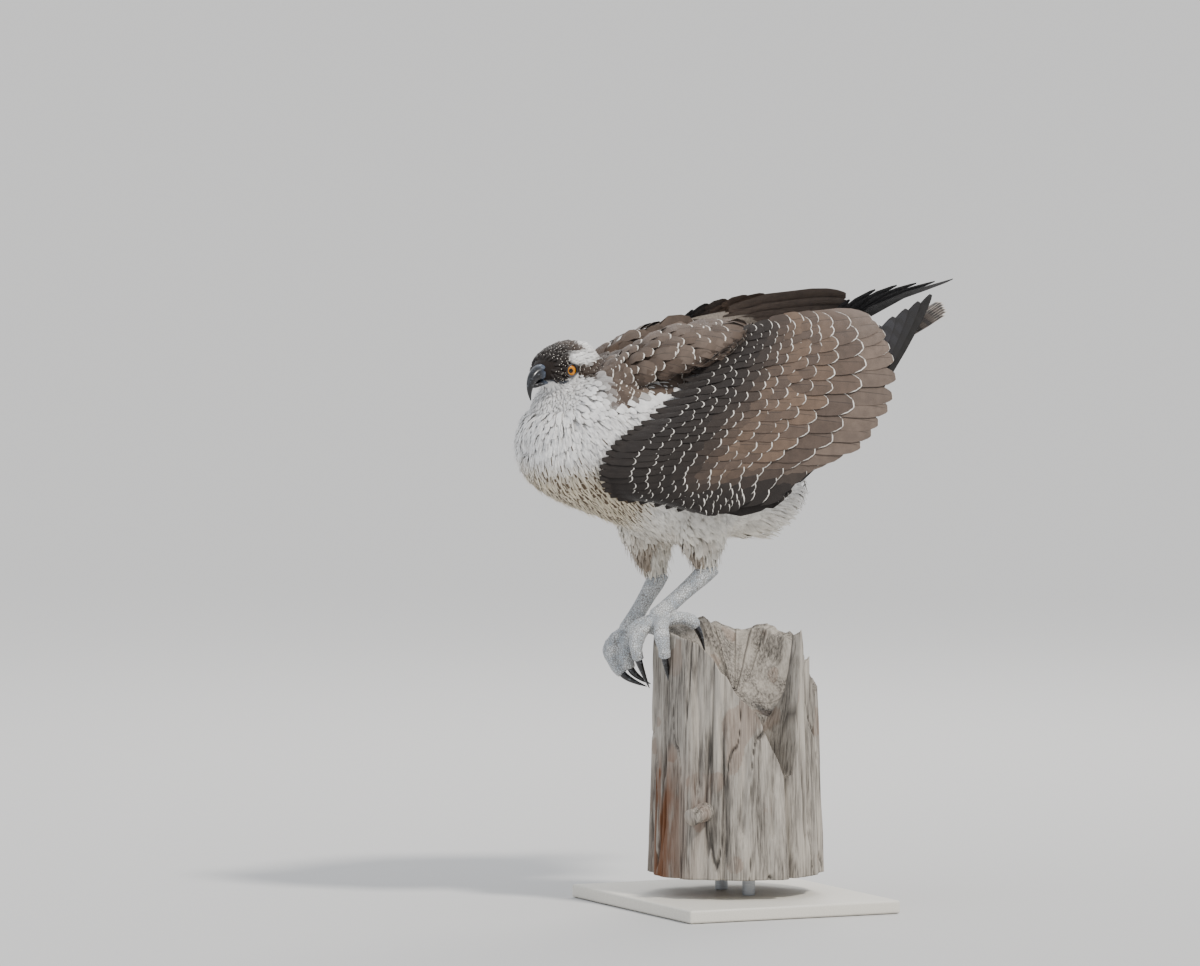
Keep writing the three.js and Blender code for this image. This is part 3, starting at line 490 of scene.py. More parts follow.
def horn(name, hex_pale, hex_dark, start, end, roughness):
    """Smooth grown horn that darkens along the piece's own 'reach' from 0 to 1."""
    material, tree, shader = new_material(name, roughness, 0.5, 0.0, 0.35)
    reach = attribute(tree, "reach").outputs["Fac"]
    fine = noise(tree, (5, 5, 1.6), 4.0)
    moved = calc(tree, "MULTIPLY_ADD", fine, 0.16, calc(tree, "SUBTRACT", reach, 0.08))
    share = between(tree, moved, start, end)
    base = blend_colour(tree, share, linear(hex_pale), linear(hex_dark))
    base = blend_colour(tree, between(tree, fine, 0.55, 0.8, 0.0, 0.25), base, linear("#d5dbe2"))
    paint(tree, shader, base)
    raise_surface(tree, shader, fine, 0.12)
    return material


def iris_tissue():
    """Living iris: orange-yellow rays round a black pupil, darker at the rim."""
    material, tree, shader = new_material("iris_tissue", 0.25, 0.5)
    ring = attribute(tree, "ring").outputs["Fac"]
    rays = noise(tree, 0.8, 3.0)
    base = blend_colour(tree, between(tree, rays, 0.35, 0.65), linear(IRIS_YELLOW), linear(IRIS_ORANGE))
    base = blend_colour(tree, between(tree, ring, 5.0, IRIS_RADIUS), base, linear("#3a1c05"))
    base = blend_colour(tree, between(tree, ring, 2.7, PUPIL_RADIUS), base, (0.002, 0.002, 0.002, 1.0))
    paint(tree, shader, base)
    return material


def cornea():
    """Clear wet cornea over the iris."""
    material, _, shader = new_material("cornea_clear", 0.02, 0.5)
    shader.inputs["Base Color"].default_value = (0.02, 0.015, 0.01, 1.0)
    shader.inputs["Alpha"].default_value = 0.16
    shader.inputs["IOR"].default_value = 1.376
    return material


def weathered_wood():
    """Sun-bleached dead wood: silver grey, split along the grain with painted shade in the splits, rotted to
    red-brown in places.
    """
    material, tree, shader = new_material("dead_wood_weathered", 0.88, 0.2)
    grain = noise(tree, (2.2, 2.2, 40), 6.0, 0.65)
    broad = noise(tree, (22, 22, 90), 4.0)
    base = blend_colour(tree, between(tree, grain, 0.32, 0.68), linear(WOOD_DARK), linear(WOOD_PALE))
    base = blend_colour(tree, between(tree, broad, 0.4, 0.65, 0.0, 0.6), base, linear("#c4bcb0"))
    rot = attribute(tree, "rot").outputs["Fac"]
    rough_rot = times(tree, rot, between(tree, broad, 0.35, 0.55))
    base = blend_colour(tree, rough_rot, base, linear("#6b4226"))
    # Painted shade: the carved cracks are painted near black, as the shade deep inside them.
    crack = attribute(tree, "crack").outputs["Fac"]
    base = blend_colour(tree, crack, base, linear("#241e1a"))
    paint(tree, shader, base)
    raise_surface(tree, shader, grain, 0.9)
    return material


def painted_board():
    """Matt off-white paint on board: faint roller texture."""
    material, tree, shader = new_material("eggshell_paint_board", 0.55, 0.4)
    fine = noise(tree, 1.5, 3.0)
    base = blend_colour(tree, between(tree, fine, 0.3, 0.7), linear("#d6d1c6"), linear("#dedacf"))
    paint(tree, shader, base)
    raise_surface(tree, shader, fine, 0.05)
    return material


def brushed_rod():
    """Stainless steel rod, drawn, with fine rings of brushing."""
    material, tree, shader = new_material("stainless_steel_drawn", 0.35)
    shader.inputs["Metallic"].default_value = 1.0
    fine = noise(tree, (8, 8, 0.3), 3.0)
    base = blend_colour(tree, between(tree, fine, 0.3, 0.7), linear("#8f9194"), linear("#a9abad"))
    paint(tree, shader, base)
    raise_surface(tree, shader, fine, 0.03)
    return material


MAKERS = {
    "feather": feather_keratin,
    "skin": bare_skin,
    "scales": scaled_skin,
    "bill": lambda: horn("bill_horn_grown", "#4b5566", "#0b0b0e", 0.1, 0.58, 0.28),
    "claw": lambda: horn("claw_horn_grown", "#26262b", "#060607", 0.1, 0.5, 0.25),
    "lid": lambda: horn("eyelid_skin", "#3c4046", "#141416", 0.4, 0.7, 0.5),
    "iris": iris_tissue,
    "cornea": cornea,
    "wood": weathered_wood,
    "board": painted_board,
    "rod": brushed_rod,
}
made_materials = {}


def finish_of(name):
    if name not in made_materials:
        made_materials[name] = MAKERS[name]()
    return made_materials[name]


# Meshes


def piece(name, mesh, finish, replaced=()):
    """An object for a finished mesh, riding with the body and standing for its solids."""
    made = bpy.data.objects.new(name, mesh)
    bpy.context.scene.collection.objects.link(made)
    mesh.materials.clear()
    mesh.materials.append(finish_of(finish))
    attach(made, "root")
    if replaced:
        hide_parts(*replaced)
    return made


def smooth_faces(mesh):
    mesh.polygons.foreach_set("use_smooth", np.ones(len(mesh.polygons), bool))


def put_number(mesh, name, values, kind="FLOAT"):
    layer = mesh.attributes.new(name, kind, "POINT")
    key = {"FLOAT": "value", "FLOAT_VECTOR": "vector", "FLOAT_COLOR": "color"}[kind]
    layer.data.foreach_set(key, np.ascontiguousarray(values, np.float32).ravel())


def paint_ground(mesh, tone):
    """One ground colour for a whole mesh."""
    put_number(mesh, "ground", np.tile(np.append(tone, 1.0), (len(mesh.vertices), 1)), "FLOAT_COLOR")


def points_of(mesh):
    flat = np.empty(len(mesh.vertices) * 3, np.float32)
    mesh.vertices.foreach_get("co", flat)
    return flat.reshape(-1, 3).astype(float) / MM - (MIDLINE_X, 0, 0)


def sleeve(bm, place, rows, around, closed=True):
    """A grid wrapped into a closed form: place(a, turn) gives its point, a from end to end."""
    fresh = bmesh.ops.create_grid(bm, x_segments=around, y_segments=rows, size=0.5)["verts"]
    flat = np.array([v.co[:2] for v in fresh]) + 0.5
    points = world(place(flat[:, 1], flat[:, 0] * 2 * math.pi))
    for v, p in zip(fresh, points):
        v.co = p
    bmesh.ops.remove_doubles(bm, verts=fresh, dist=2e-6)
    fresh = [v for v in fresh if v.is_valid]
    rims = {e for v in fresh for e in v.link_edges if e.is_boundary}
    if closed and rims:
        bmesh.ops.holes_fill(bm, edges=list(rims), sides=0)
    return fresh


def built(name, bm):
    bmesh.ops.recalc_face_normals(bm, faces=bm.faces)
    mesh = bpy.data.meshes.new(name)
    bm.to_mesh(mesh)
    bm.free()
    smooth_faces(mesh)
    return mesh


def fused(name, bm, voxel, smoothing):
    """The forms in bm as one skin, remeshed at that voxel size in millimetres and smoothed."""
    rough = bpy.data.objects.new(name, built(name, bm))
    bpy.context.scene.collection.objects.link(rough)
    remesh = rough.modifiers.new("fuse", "REMESH")
    remesh.mode = "VOXEL"
    remesh.voxel_size = voxel * MM
    soft = rough.modifiers.new("soften", "SMOOTH")
    soft.factor = 0.5
    soft.iterations = smoothing
    view = bpy.context.evaluated_depsgraph_get()
    mesh = bpy.data.meshes.new_from_object(rough.evaluated_get(view))
    bpy.data.objects.remove(rough)
    mesh.name = name
    smooth_faces(mesh)
    return mesh


def heading(stops, a):
    """The way a curve runs at each share of it."""
    return unit(curve(stops, np.minimum(a + 0.02, 1))[:, :3] - curve(stops, np.maximum(a - 0.02, 0))[:, :3])


def tube_place(stops, up=(0.3, 0.2, 1.0), flat=0.92):
    """A round tube through stops of x, y, z and radius, for sleeve."""

    def place(a, turn):
        here = curve(stops, a)
        along = heading(stops, a)
        side = unit(np.cross(along, np.array(up, float)))
        top = np.cross(side, along)
        r = here[:, 3:4]
        return here[:, :3] + side * r * np.cos(turn)[:, None] + top * r * flat * np.sin(turn)[:, None]

    return place


def torso_place(grow):
    def place(a, turn):
        y, top, bottom, half = curve(TORSO_STATIONS, a).T
        c, s = np.cos(turn), np.sin(turn)
        middle = bottom + (top - bottom) * 0.52
        rise = np.where(s > 0, top - middle, middle - bottom)
        x = (half + grow) * np.sign(c) * np.abs(c) ** 0.92
        end = np.where((a < 0.01) | (a > 0.99), -grow, 0)
        return np.stack([x, y - np.sign(y + 60) * end, middle + (rise + grow) * s], -1)

    return place


def neck_place(grow):
    def place(a, turn):
        z, y, half, length = curve(NECK_STATIONS, a).T
        return np.stack([(half + grow) * np.cos(turn) - 2, y + (length + grow) * np.sin(turn), z], -1)

    return place


def head_form(grow):
    def place(a, turn):
        forward, half, top, bottom = curve(HEAD_STATIONS, a).T
        c, s = np.cos(turn), np.sin(turn)
        rise = np.where(s > 0, top, -bottom)
        brow = 2.2 * np.exp(-(((forward - 3) / 11) ** 2)) * np.exp(-(((s - 0.5) / 0.22) ** 2))
        lore = 2.4 * np.exp(-(((forward - 13) / 6) ** 2)) * np.exp(-((s / 0.4) ** 2))
        cheek = 1.5 * np.exp(-(((forward + 14) / 12) ** 2)) * np.exp(-(((s + 0.4) / 0.3) ** 2))
        out = 1 + (brow - lore + cheek) / np.maximum(half, 12)
        left = (half * out + grow) * np.sign(c) * np.abs(c) ** 0.9
        return in_head(forward, left, (rise + grow) * s + brow * 0.5)

    return place


def arm_place(side, grow):
    ray = unit(np.array((0.62, -0.2, 0.76)))

    def place(a, turn):
        x, y, z, wide, high = curve(UPPER_ARM, a).T
        at = np.stack([x, y, z], -1)
        along = heading(UPPER_ARM, a)
        across = unit(np.cross(along, ray))
        top = np.cross(across, along)
        swell = np.sqrt(np.clip(1 - (2 * a - 1) ** 4, 0.02, 1))
        wide, high = (wide + grow) * swell, (high + grow) * swell
        ring = at + across * (wide * np.cos(turn))[:, None] + top * (high * np.sin(turn))[:, None]
        return ring if side > 0 else ring * np.array((-1, 1, 1)) - np.array((0, 0, FAR_ARM_DROP))

    return place


def thigh_stops(leg, grow):
    hip, heel = np.array(leg["hip"], float), np.array(leg["heel"], float)
    rows = []
    for share, wide, shift in THIGH_STATIONS:
        p = hip + (heel - hip) * share
        rows.append((p[0], p[1] + shift, p[2], wide + grow))
    return rows


def vent_stops(grow):
    return [(0, 0, 420, 26 + grow), (0, 34, 425, 33 + grow), (0, 62, 440, 30 + grow), (0, 84, 460, 20 + grow)]


# Markings of the plumage, for the skin and for every small feather alike.

WHITE, CREAM, BUFF = colour("#f1efec"), colour("#e9e2d3"), colour("#d8c8a6")
BROWN, DARK, MID = colour("#57483d"), colour("#231c18"), colour("#85766a")
PALE = colour("#ece5da")


def eye_centre(side):
    return in_head(EYE_PLACE[0], side * EYE_PLACE[1], EYE_PLACE[2])


def eye_distance(p):
    """Distance from the nearer eye's centre."""
    eyes = [eye_centre(side) for side in (1, -1)]
    return np.minimum(np.linalg.norm(p - eyes[0], axis=1), np.linalg.norm(p - eyes[1], axis=1))


def markings(p):
    """Ground colour, fringe colour, fringe width, streak width and brownness at points of the body."""
    x, y, z = p[:, 0], p[:, 1], p[:, 2]
    f, l, u = head_place(p)
    patch = drift(p, 9)
    fine = drift(p, 3.2)
    near_head = (f > -64) & (np.abs(l) < 36) & (u > -36) & (z > HEAD_BOTTOM)
    crown = ramp(f, 0, 7) * ramp(u, -8, -5)
    crown = np.maximum(crown, ramp(u, 17, 20) * ramp(f, -26, -12))
    crown = np.maximum(crown, ramp(u, 12, 16) * ramp(-np.abs(l), -11, -7) * (0.55 + 0.45 * (fine > 0.45)))
    low = np.interp(-f, (-24, 4, 14, 30, 50), (-6.0, -7.5, -13.0, -23.0, -30.0))
    high = np.interp(-f, (-24, 4, 14, 30, 50), (9.0, 8.0, 5.5, 8.0, 14.0))
    stripe = ramp(u, low - 2, low + 2) * ramp(-u, -high - 2, -high + 2)
    face = np.maximum(crown, stripe) * near_head
    side_line = 560 + 0.394 * (y + 123) + 5 * (patch - 0.5)
    nape = ramp(y, -172, -156) * ramp(z, side_line - 3, side_line + 3) * (~near_head)
    back = ramp(z, side_line - 3, side_line + 3) * ramp(y, -160, -140)
    back = np.maximum(back, ramp(y, 70, 95) * ramp(z, 520, 545))
    brown = np.clip(np.maximum(face, np.maximum(nape, back)), 0, 1)
    breast = ramp(-y, 100, 140) * ramp(-z, -505, -470) * ramp(z, 395, 415)
    ground = mix(mix(WHITE, CREAM, ramp(-z, -470, -400) * 0.8), BUFF, breast * 0.75)
    dark = mix(BROWN, DARK, np.where(near_head, 0.45 + 0.55 * ramp(f, -12, 6), 0.25 * patch))
    ground = mix(ground, dark, brown)
    eye_gap = eye_distance(p)
    lid_white = (eye_gap < 13.5) * (u < -2.5) * (f < 8) * near_head
    ground = mix(ground, WHITE, lid_white * 0.9)
    gape = np.exp(-(((u + 6.5) / 1.3) ** 2)) * ramp(f, 5, 9) * ramp(-f, -28, -24) * (eye_gap > 11) * near_head
    ground = mix(ground, colour("#3c4048"), gape)
    leg_front = ramp(-z, -425, -375) * (y < np.where(x > 0, -40, -70)) * (z < 425)
    ground = mix(ground, colour("#8b7660"), leg_front * (0.25 + 0.55 * (patch > 0.5)))
    fringe = mix(ground, PALE, brown)
    width = brown * np.where(near_head, 0.35 + 0.35 * fine, 1.0)
    streak = breast * np.where(fine > 0.4, 2.8, 1.2) * (1 - brown)
    streak = np.maximum(streak, 0.9 * (fine > 0.72) * ramp(-y, 120, 160) * (z < 520) * (1 - brown))
    leg = ramp(-z, -412, -398) * (1 - brown)
    streak = np.maximum(streak, leg * 1.1 * (drift(p, (9, 9, 16)) > 0.62) * (y < -40))
    return ground, fringe, width, streak, brown


# Feathers. Each is a closed blade of a few faces, with its own numbers for the material.

STATIONS = {
    "body": np.array((0.0, 0.3, 0.58, 0.8, 0.93, 1.0)),
    "wing": np.array((0.0, 0.16, 0.34, 0.54, 0.72, 0.85, 0.93, 0.98, 1.0)),
    "wisp": np.array((0.0, 0.4, 0.75, 1.0)),
}


def outline(a, point=0.22):
    """Half width of a feather along it, as a share of its widest."""
    root = 0.35 + 0.65 * ramp(a, 0, 0.35)
    tip = np.sqrt(np.clip(1 - (np.maximum(a - 0.7, 0) / 0.305) ** 2, 0, 1))
    return root * np.maximum(tip, point)


def feather_mesh(name, centre, side, up, half, look, columns=3, thick=0.5, tilt=0.0, camber=0.12):
    """Closed blades along centre lines. centre, side and up are (count, rows, 3), half (count, rows)."""
    count, rows = half.shape
    b = np.linspace(-1, 1, columns)
    lift = (np.asarray(tilt) * half / half.max(axis=1, keepdims=True))[..., None] * b
    lift = lift - camber * half[..., None] * b**2
    grid = centre[:, :, None] + side[:, :, None] * (half[..., None] * b)[..., None]
    grid = grid + up[:, :, None] * lift[..., None]
    taper = thick * (1 - 0.6 * look["along"])[None, :, None, None]
    raised = (up[:, :, None] * taper)[:, 1 : rows - 1] * 0.5
    top = grid.copy()
    inner = (slice(None), slice(1, rows - 1), slice(1, columns - 1))
    top[inner] += raised
    under = grid[inner] - raised
    per_top, per_under = rows * columns, (rows - 2) * (columns - 2)
    points = np.concatenate([top.reshape(count, per_top, 3), under.reshape(count, per_under, 3)], 1)
    ids = np.arange(per_top).reshape(rows, columns)
    low = ids.copy()
    low[1 : rows - 1, 1 : columns - 1] = per_top + np.arange(per_under).reshape(rows - 2, columns - 2)
    quad = np.stack([ids[:-1, :-1], ids[:-1, 1:], ids[1:, 1:], ids[1:, :-1]], -1).reshape(-1, 4)
    back = np.stack([low[:-1, :-1], low[1:, :-1], low[1:, 1:], low[:-1, 1:]], -1).reshape(-1, 4)
    faces = np.concatenate([quad, back])
    per = per_top + per_under
    every = (faces[None] + (np.arange(count) * per)[:, None, None]).reshape(-1, 4)
    mesh = bpy.data.meshes.new(name)
    mesh.vertices.add(count * per)
    mesh.vertices.foreach_set("co", world(points).astype(np.float32).ravel())
    mesh.loops.add(every.size)
    mesh.loops.foreach_set("vertex_index", every.ravel().astype(np.int32))
    mesh.polygons.add(len(every))
    mesh.polygons.foreach_set("loop_start", np.arange(0, every.size, 4, dtype=np.int32))
    mesh.update(calc_edges=True)
    smooth_faces(mesh)
    rim = np.zeros(per, bool)
    rim[ids[[0, -1]].ravel()] = True
    rim[ids[:, [0, -1]].ravel()] = True
    ends = np.empty(len(mesh.edges) * 2, np.int32)
    mesh.edges.foreach_get("vertices", ends)
    sharp = rim[ends % per].reshape(-1, 2).all(1)
    mesh.attributes.new("sharp_edge", "BOOLEAN", "EDGE").data.foreach_set("value", sharp)

    def spread(values):
        """Numbers of the grid, repeated for the points of the underside."""
        wide = np.broadcast_to(values, (count, rows, columns) + values.shape[3:])
        flat = wide.reshape((count, per_top) + values.shape[3:])
        return np.concatenate([flat, wide[inner].reshape((count, per_under) + values.shape[3:])], 1)

    along = look["along"][None, :, None]
    vane = np.stack(np.broadcast_arrays(b[None, None], along, half[..., None]), -1)
    put_number(mesh, "vane", spread(vane), "FLOAT_VECTOR")
    one = np.ones((count, 1, 1))
    plume = np.stack([one * look[k][:, None, None] for k in ("length", "chance", "edge")], -1)
    put_number(mesh, "plume", spread(plume), "FLOAT_VECTOR")
    for key, extra in (("ground", "streak"), ("fringe", "bars")):
        tone = np.concatenate([look[key], look[extra][:, None]], 1)
        put_number(mesh, key, spread(tone[:, None, None]), "FLOAT_COLOR")
    patch = look["patch"]
    local = np.stack(np.broadcast_arrays(b[None, None] * 0.5, along - 0.5), -1) * patch
    at = spread(local * np.ones((count, 1, 1, 1))) + look["root_uv"][:, None]
    uv = mesh.uv_layers.new(name="OFBake")
    uv.data.foreach_set("uv", at.reshape(-1, 2)[every.ravel()].astype(np.float32).ravel())
    if mesh.validate():
        raise RuntimeError(name + " had bad faces")
    return mesh


def body_unwrap(p):
    """Where a root lies on the body's skin, unrolled round the line from breast to tail."""
    turn = np.arctan2(p[:, 0], p[:, 2] - 500) / (2 * math.pi) + 0.5
    u = np.clip((p[:, 1] + 250) / 400, 0, 1) * 0.6
    low = p[:, 2] < 385
    u = np.where(low, 0.64 + np.clip((385 - p[:, 2]) / 60, 0, 1) * 0.12 + 0.12 * (p[:, 0] < 0), u)
    f, l, h = head_place(p)
    head = (f > -50) & (h > -30) & (p[:, 2] > 545)
    u = np.where(head, 0.9 + np.clip((f + 50) / 90, 0, 1) * 0.09, u)
    turn = np.where(head, np.arctan2(l, h) / (2 * math.pi) + 0.5, turn)
    return np.stack([0.005 + u * 0.985, 0.01 + turn * 0.98], -1)


def scatter(mesh, spacing, rng, wanted):
    """Seeded points on a skin, at least spacing(point) apart. Returns points in millimetres."""
    mesh.calc_loop_triangles()
    corners = np.empty(len(mesh.loop_triangles) * 3, np.int32)
    mesh.loop_triangles.foreach_get("vertices", corners)
    tri = points_of(mesh)[corners.reshape(-1, 3)]
    area = np.linalg.norm(np.cross(tri[:, 1] - tri[:, 0], tri[:, 2] - tri[:, 0]), axis=1)
    middle = tri.mean(1)
    gap = spacing(middle)
    weight = np.where(gap > 0, area / np.maximum(gap, 0.5) ** 2, 0)
    pick = rng.choice(len(tri), wanted, p=weight / weight.sum())
    r1, r2 = np.sqrt(rng.random(wanted)), rng.random(wanted)
    t = tri[pick]
    p = t[:, 0] * (1 - r1)[:, None] + t[:, 1] * (r1 * (1 - r2))[:, None] + t[:, 2] * (r1 * r2)[:, None]
    gap = gap[pick]
    finder = kdtree.KDTree(wanted)
    for i, q in enumerate(p):
        finder.insert(q, i)
    finder.balance()
    alive = np.ones(wanted, bool)
    for i in range(wanted):
        if alive[i]:
            for _, j, _ in finder.find_range(p[i], gap[i]):
                if j > i:
                    alive[j] = False
    return p[alive]


def flow(p):
    """The way feathers lie at points of the body: back from the bill, and down the legs."""
    from_bill = unit(p - in_head(20, 0, 6))
    over = unit(p - np.array((0.0, -300.0, 660.0)))
    headward = ramp(p[:, 2], 545, 565)[:, None] * (p[:, 1] < -120)[:, None]
    way = unit(from_bill * headward + over * (1 - headward))
    throat = (ramp(-p[:, 1], 175, 215) * ramp(-p[:, 2], -575, -555))[:, None]
    way = unit(way * (1 - throat) + np.array((0, 0.12, -1.0)) * throat)
    leg = ramp(-p[:, 2], -410, -385)[:, None] * (p[:, 1] < 20)[:, None]
    way = unit(way * (1 - leg) + np.array((0, 0.1, -1.0)) * leg)
    vent = ramp(p[:, 1], 10, 40)[:, None] * ramp(-p[:, 2], -490, -460)[:, None]
    return unit(way * (1 - vent) + np.array((0, 0.9, -0.42)) * vent)


def laid(name, finder, roots, length, half, depth, lift, rng, stations, **more):
    """Feathers that follow the skin from their roots, and rise by depth towards their tips."""
    along = STATIONS[stations]
    count = len(roots)
    place = roots.copy()
    bend = rng.normal(0, 0.09, count)
    spots, ways, ups = [], [], []
    for k, a in enumerate(along):
        if k:
            place = place + ways[-1] * ((a - along[k - 1]) * length)[:, None]
        near = np.empty_like(place)
        normal = np.empty_like(place)
        for i, q in enumerate(place):
            hit = finder.find_nearest(q)
            near[i], normal[i] = hit[0], hit[1]
        if k:
            normal = unit(normal * 0.5 + ups[-1] * 0.5)
        place = near
        way = flow(near)
        way = unit(way - normal * (way * normal).sum(1, keepdims=True))
        way = unit(way + np.cross(normal, way) * bend[:, None])
        spots.append(near)
        ways.append(way)
        ups.append(normal)
    spots, ways, ups = (np.stack(v, 1) for v in (spots, ways, ups))
    rise = -1.2 + (depth[:, None] + 1.2) * ramp(along, 0, 0.55)[None] + lift[:, None] * along[None] ** 2
    centre = spots + ups * rise[..., None]
    side = unit(np.cross(ups, ways))
    wide = half[:, None] * outline(along, more.pop("point", 0.22))[None]
    look = more.pop("look")
    look.update(along=along, length=length)
    return feather_mesh(name, centre, side, ups, wide, look, **more)


def on_shoulder(p):
    return (p[:, 2] > 535) & (p[:, 1] < -140)


def on_vent(p):
    return (p[:, 1] > 20) & (p[:, 2] < 475)


def body_look(roots, rng, patch=BAKE_PATCH):
    """Colours and numbers of small feathers, from the markings at their roots."""
    ground, fringe, width, streak, _ = markings(roots)
    count = len(roots)
    shade = rng.normal(1, 0.05, count)[:, None]
    return {
        "ground": np.clip(ground * shade, 0, 1), "fringe": fringe, "edge": width, "streak": streak,
        "bars": np.zeros(count), "chance": rng.random(count), "patch": patch, "root_uv": body_unwrap(roots),
    }


# Main splits down the trunk: turn in degrees, depth, and the shares of the height that they run between.
TRUNK_SPLITS = [
    (1.25, 3.4, 0.25, 1.2), (16.25, 8, -0.2, 1.2), (36.25, 4.2, 0.1, 0.8), (51.25, 5, 0.35, 1.2),
    (71.25, 3.6, -0.2, 0.75), (91.25, 4.8, 0.2, 1.2), (111.25, 3.8, -0.2, 0.6), (126.25, 4.6, 0.4, 1.2),
    (146.25, 5.2, -0.2, 0.9), (166.25, 3.6, 0.3, 1.2), (186.25, 4.8, -0.2, 0.7), (206.25, 3.8, 0.45, 1.2),
    (221.25, 4.6, -0.2, 0.85), (241.25, 4, 0.2, 1.2), (256.25, 5.6, -0.2, 0.65), (276.25, 4.4, 0.1, 1.2),
    (291.25, 3.8, -0.2, 0.55), (306.25, 5, 0.3, 1.2), (326.25, 5.4, -0.2, 0.9), (341.25, 4, 0.15, 0.8),
]


def trunk_split(turn, share, width=2.2):
    degrees = np.degrees(turn) % 360
    deep = np.zeros_like(degrees)
    for at, depth, low, high in TRUNK_SPLITS:
        run = ramp(share, low, low + 0.15) * (1 - ramp(share, high - 0.15, high))
        wander = at + 1.6 * np.sin(share * 7 + at) * (at != 16.25)
        deep = deep + depth * run * np.exp(-(((degrees - wander) / width) ** 2))
    return deep


def trunk_wall(turn, z):
    return np.stack([WALL_RADIUS * np.cos(turn), WALL_RADIUS * np.sin(turn), z], -1)


def fine_split(wall):
    """Nearly nothing along the fine splits of the grain, and up to a half between them."""
    return np.abs(drift(wall, (11, 11, 150)) - 0.5)


# The wing's outer surface, s from elbow to wrist and t from leading to trailing edge.


def sheet(s, t, h=0.0):
    s, t, h = np.broadcast_arrays(np.asarray(s, float), np.asarray(t, float), np.asarray(h, float))

    def swelled(s, t):
        p = curve(LEADING, s) * (1 - t)[..., None] + curve(TRAILING, s) * t[..., None]
        swell = WING_BULGE * np.sin(np.pi * np.clip(0.12 + 0.88 * t, 0, 1))
        swell = swell * (0.55 + 0.45 * np.sin(np.pi * s))
        return p + swell[..., None] * np.array((0.9, 0, 0.42))

    p = swelled(s, t)
    along_s = swelled(s + 0.01, t) - swelled(s - 0.01, t)
    along_t = swelled(s, t + 0.01) - swelled(s, t - 0.01)
    normal = unit(np.cross(along_t, along_s))
    normal = normal * np.sign(normal[..., :1])
    curl = -9.0 * np.clip((0.14 - t) / 0.14, 0, 1.6) ** 2
    return p + normal * (h + curl)[..., None], unit(along_s), normal


def wing_row(s_tip, t_from, t_to, half, base, sink, rng, skew=0.13, tip_lift=0.0):
    """Centre line, side, up and half width for one tier of feathers, root to tip."""
    along = STATIONS["wing"]
    count = len(s_tip)
    t_to = t_to + rng.normal(0, 0.006, count)
    t = t_from[:, None] + (t_to - t_from)[:, None] * along
    lean = skew * np.sin(np.pi * np.clip(s_tip, 0.05, 0.95))[:, None]
    s = s_tip[:, None] - lean * (t_to[:, None] - t) + rng.normal(0, 0.004, count)[:, None] * along
    h = base - sink * (1 - ramp(along, 0, 0.8))[None] + tip_lift * ramp(t, 0.55, 1)
    h = h + rng.normal(0, 0.25, count)[:, None]
    centre, across, up = sheet(s, t, h)
    run = unit(np.gradient(centre, axis=1))
    side = unit(across - run * (across * run).sum(-1, keepdims=True))
    return centre, side, up, half[:, None] * outline(along)[None]


def slots(count, offset, total):
    """One square of the bake map for each large feather, side by side."""
    across = math.ceil(math.sqrt(total))
    i = np.arange(count) + offset
    return np.stack([(i % across + 0.5) / across, (i // across + 0.5) / across], -1), 0.86 / across


def joined(tiers):
    """Several tiers' numbers as one tier."""
    line = [np.concatenate([tier[k] for tier in tiers]) for k in range(4)]
    look = {k: np.concatenate([tier[4][k] for tier in tiers]) for k in tiers[0][4]}
    tilt = np.concatenate([np.broadcast_to(tier[5], (len(tier[0]),)) for tier in tiers])
    return line, look, tilt


def wing_tone(s, t, rng):
    """Ground colours over the wing: near black at the wrist, warmer and paler towards the tips."""
    count = len(s)
    base = mix(colour("#261f1b"), colour("#574940"), ramp(t, 0.15, 0.5))
    base = mix(base, colour("#6e5f54"), ramp(t, 0.8, 0.97))
    warm = mix(base, colour("#7d6653"), 0.6 * rng.random(count) * ramp(t, 0.25, 0.45) * ramp(-t, -0.9, -0.7))
    black = np.maximum(ramp(s, 0.72, 0.9), ramp(s, 0.35, 0.68) * ramp(-t, -0.48, -0.18))
    return np.clip(mix(warm, DARK, np.clip(black, 0, 1)) * rng.normal(1, 0.06, count)[:, None], 0, 1)


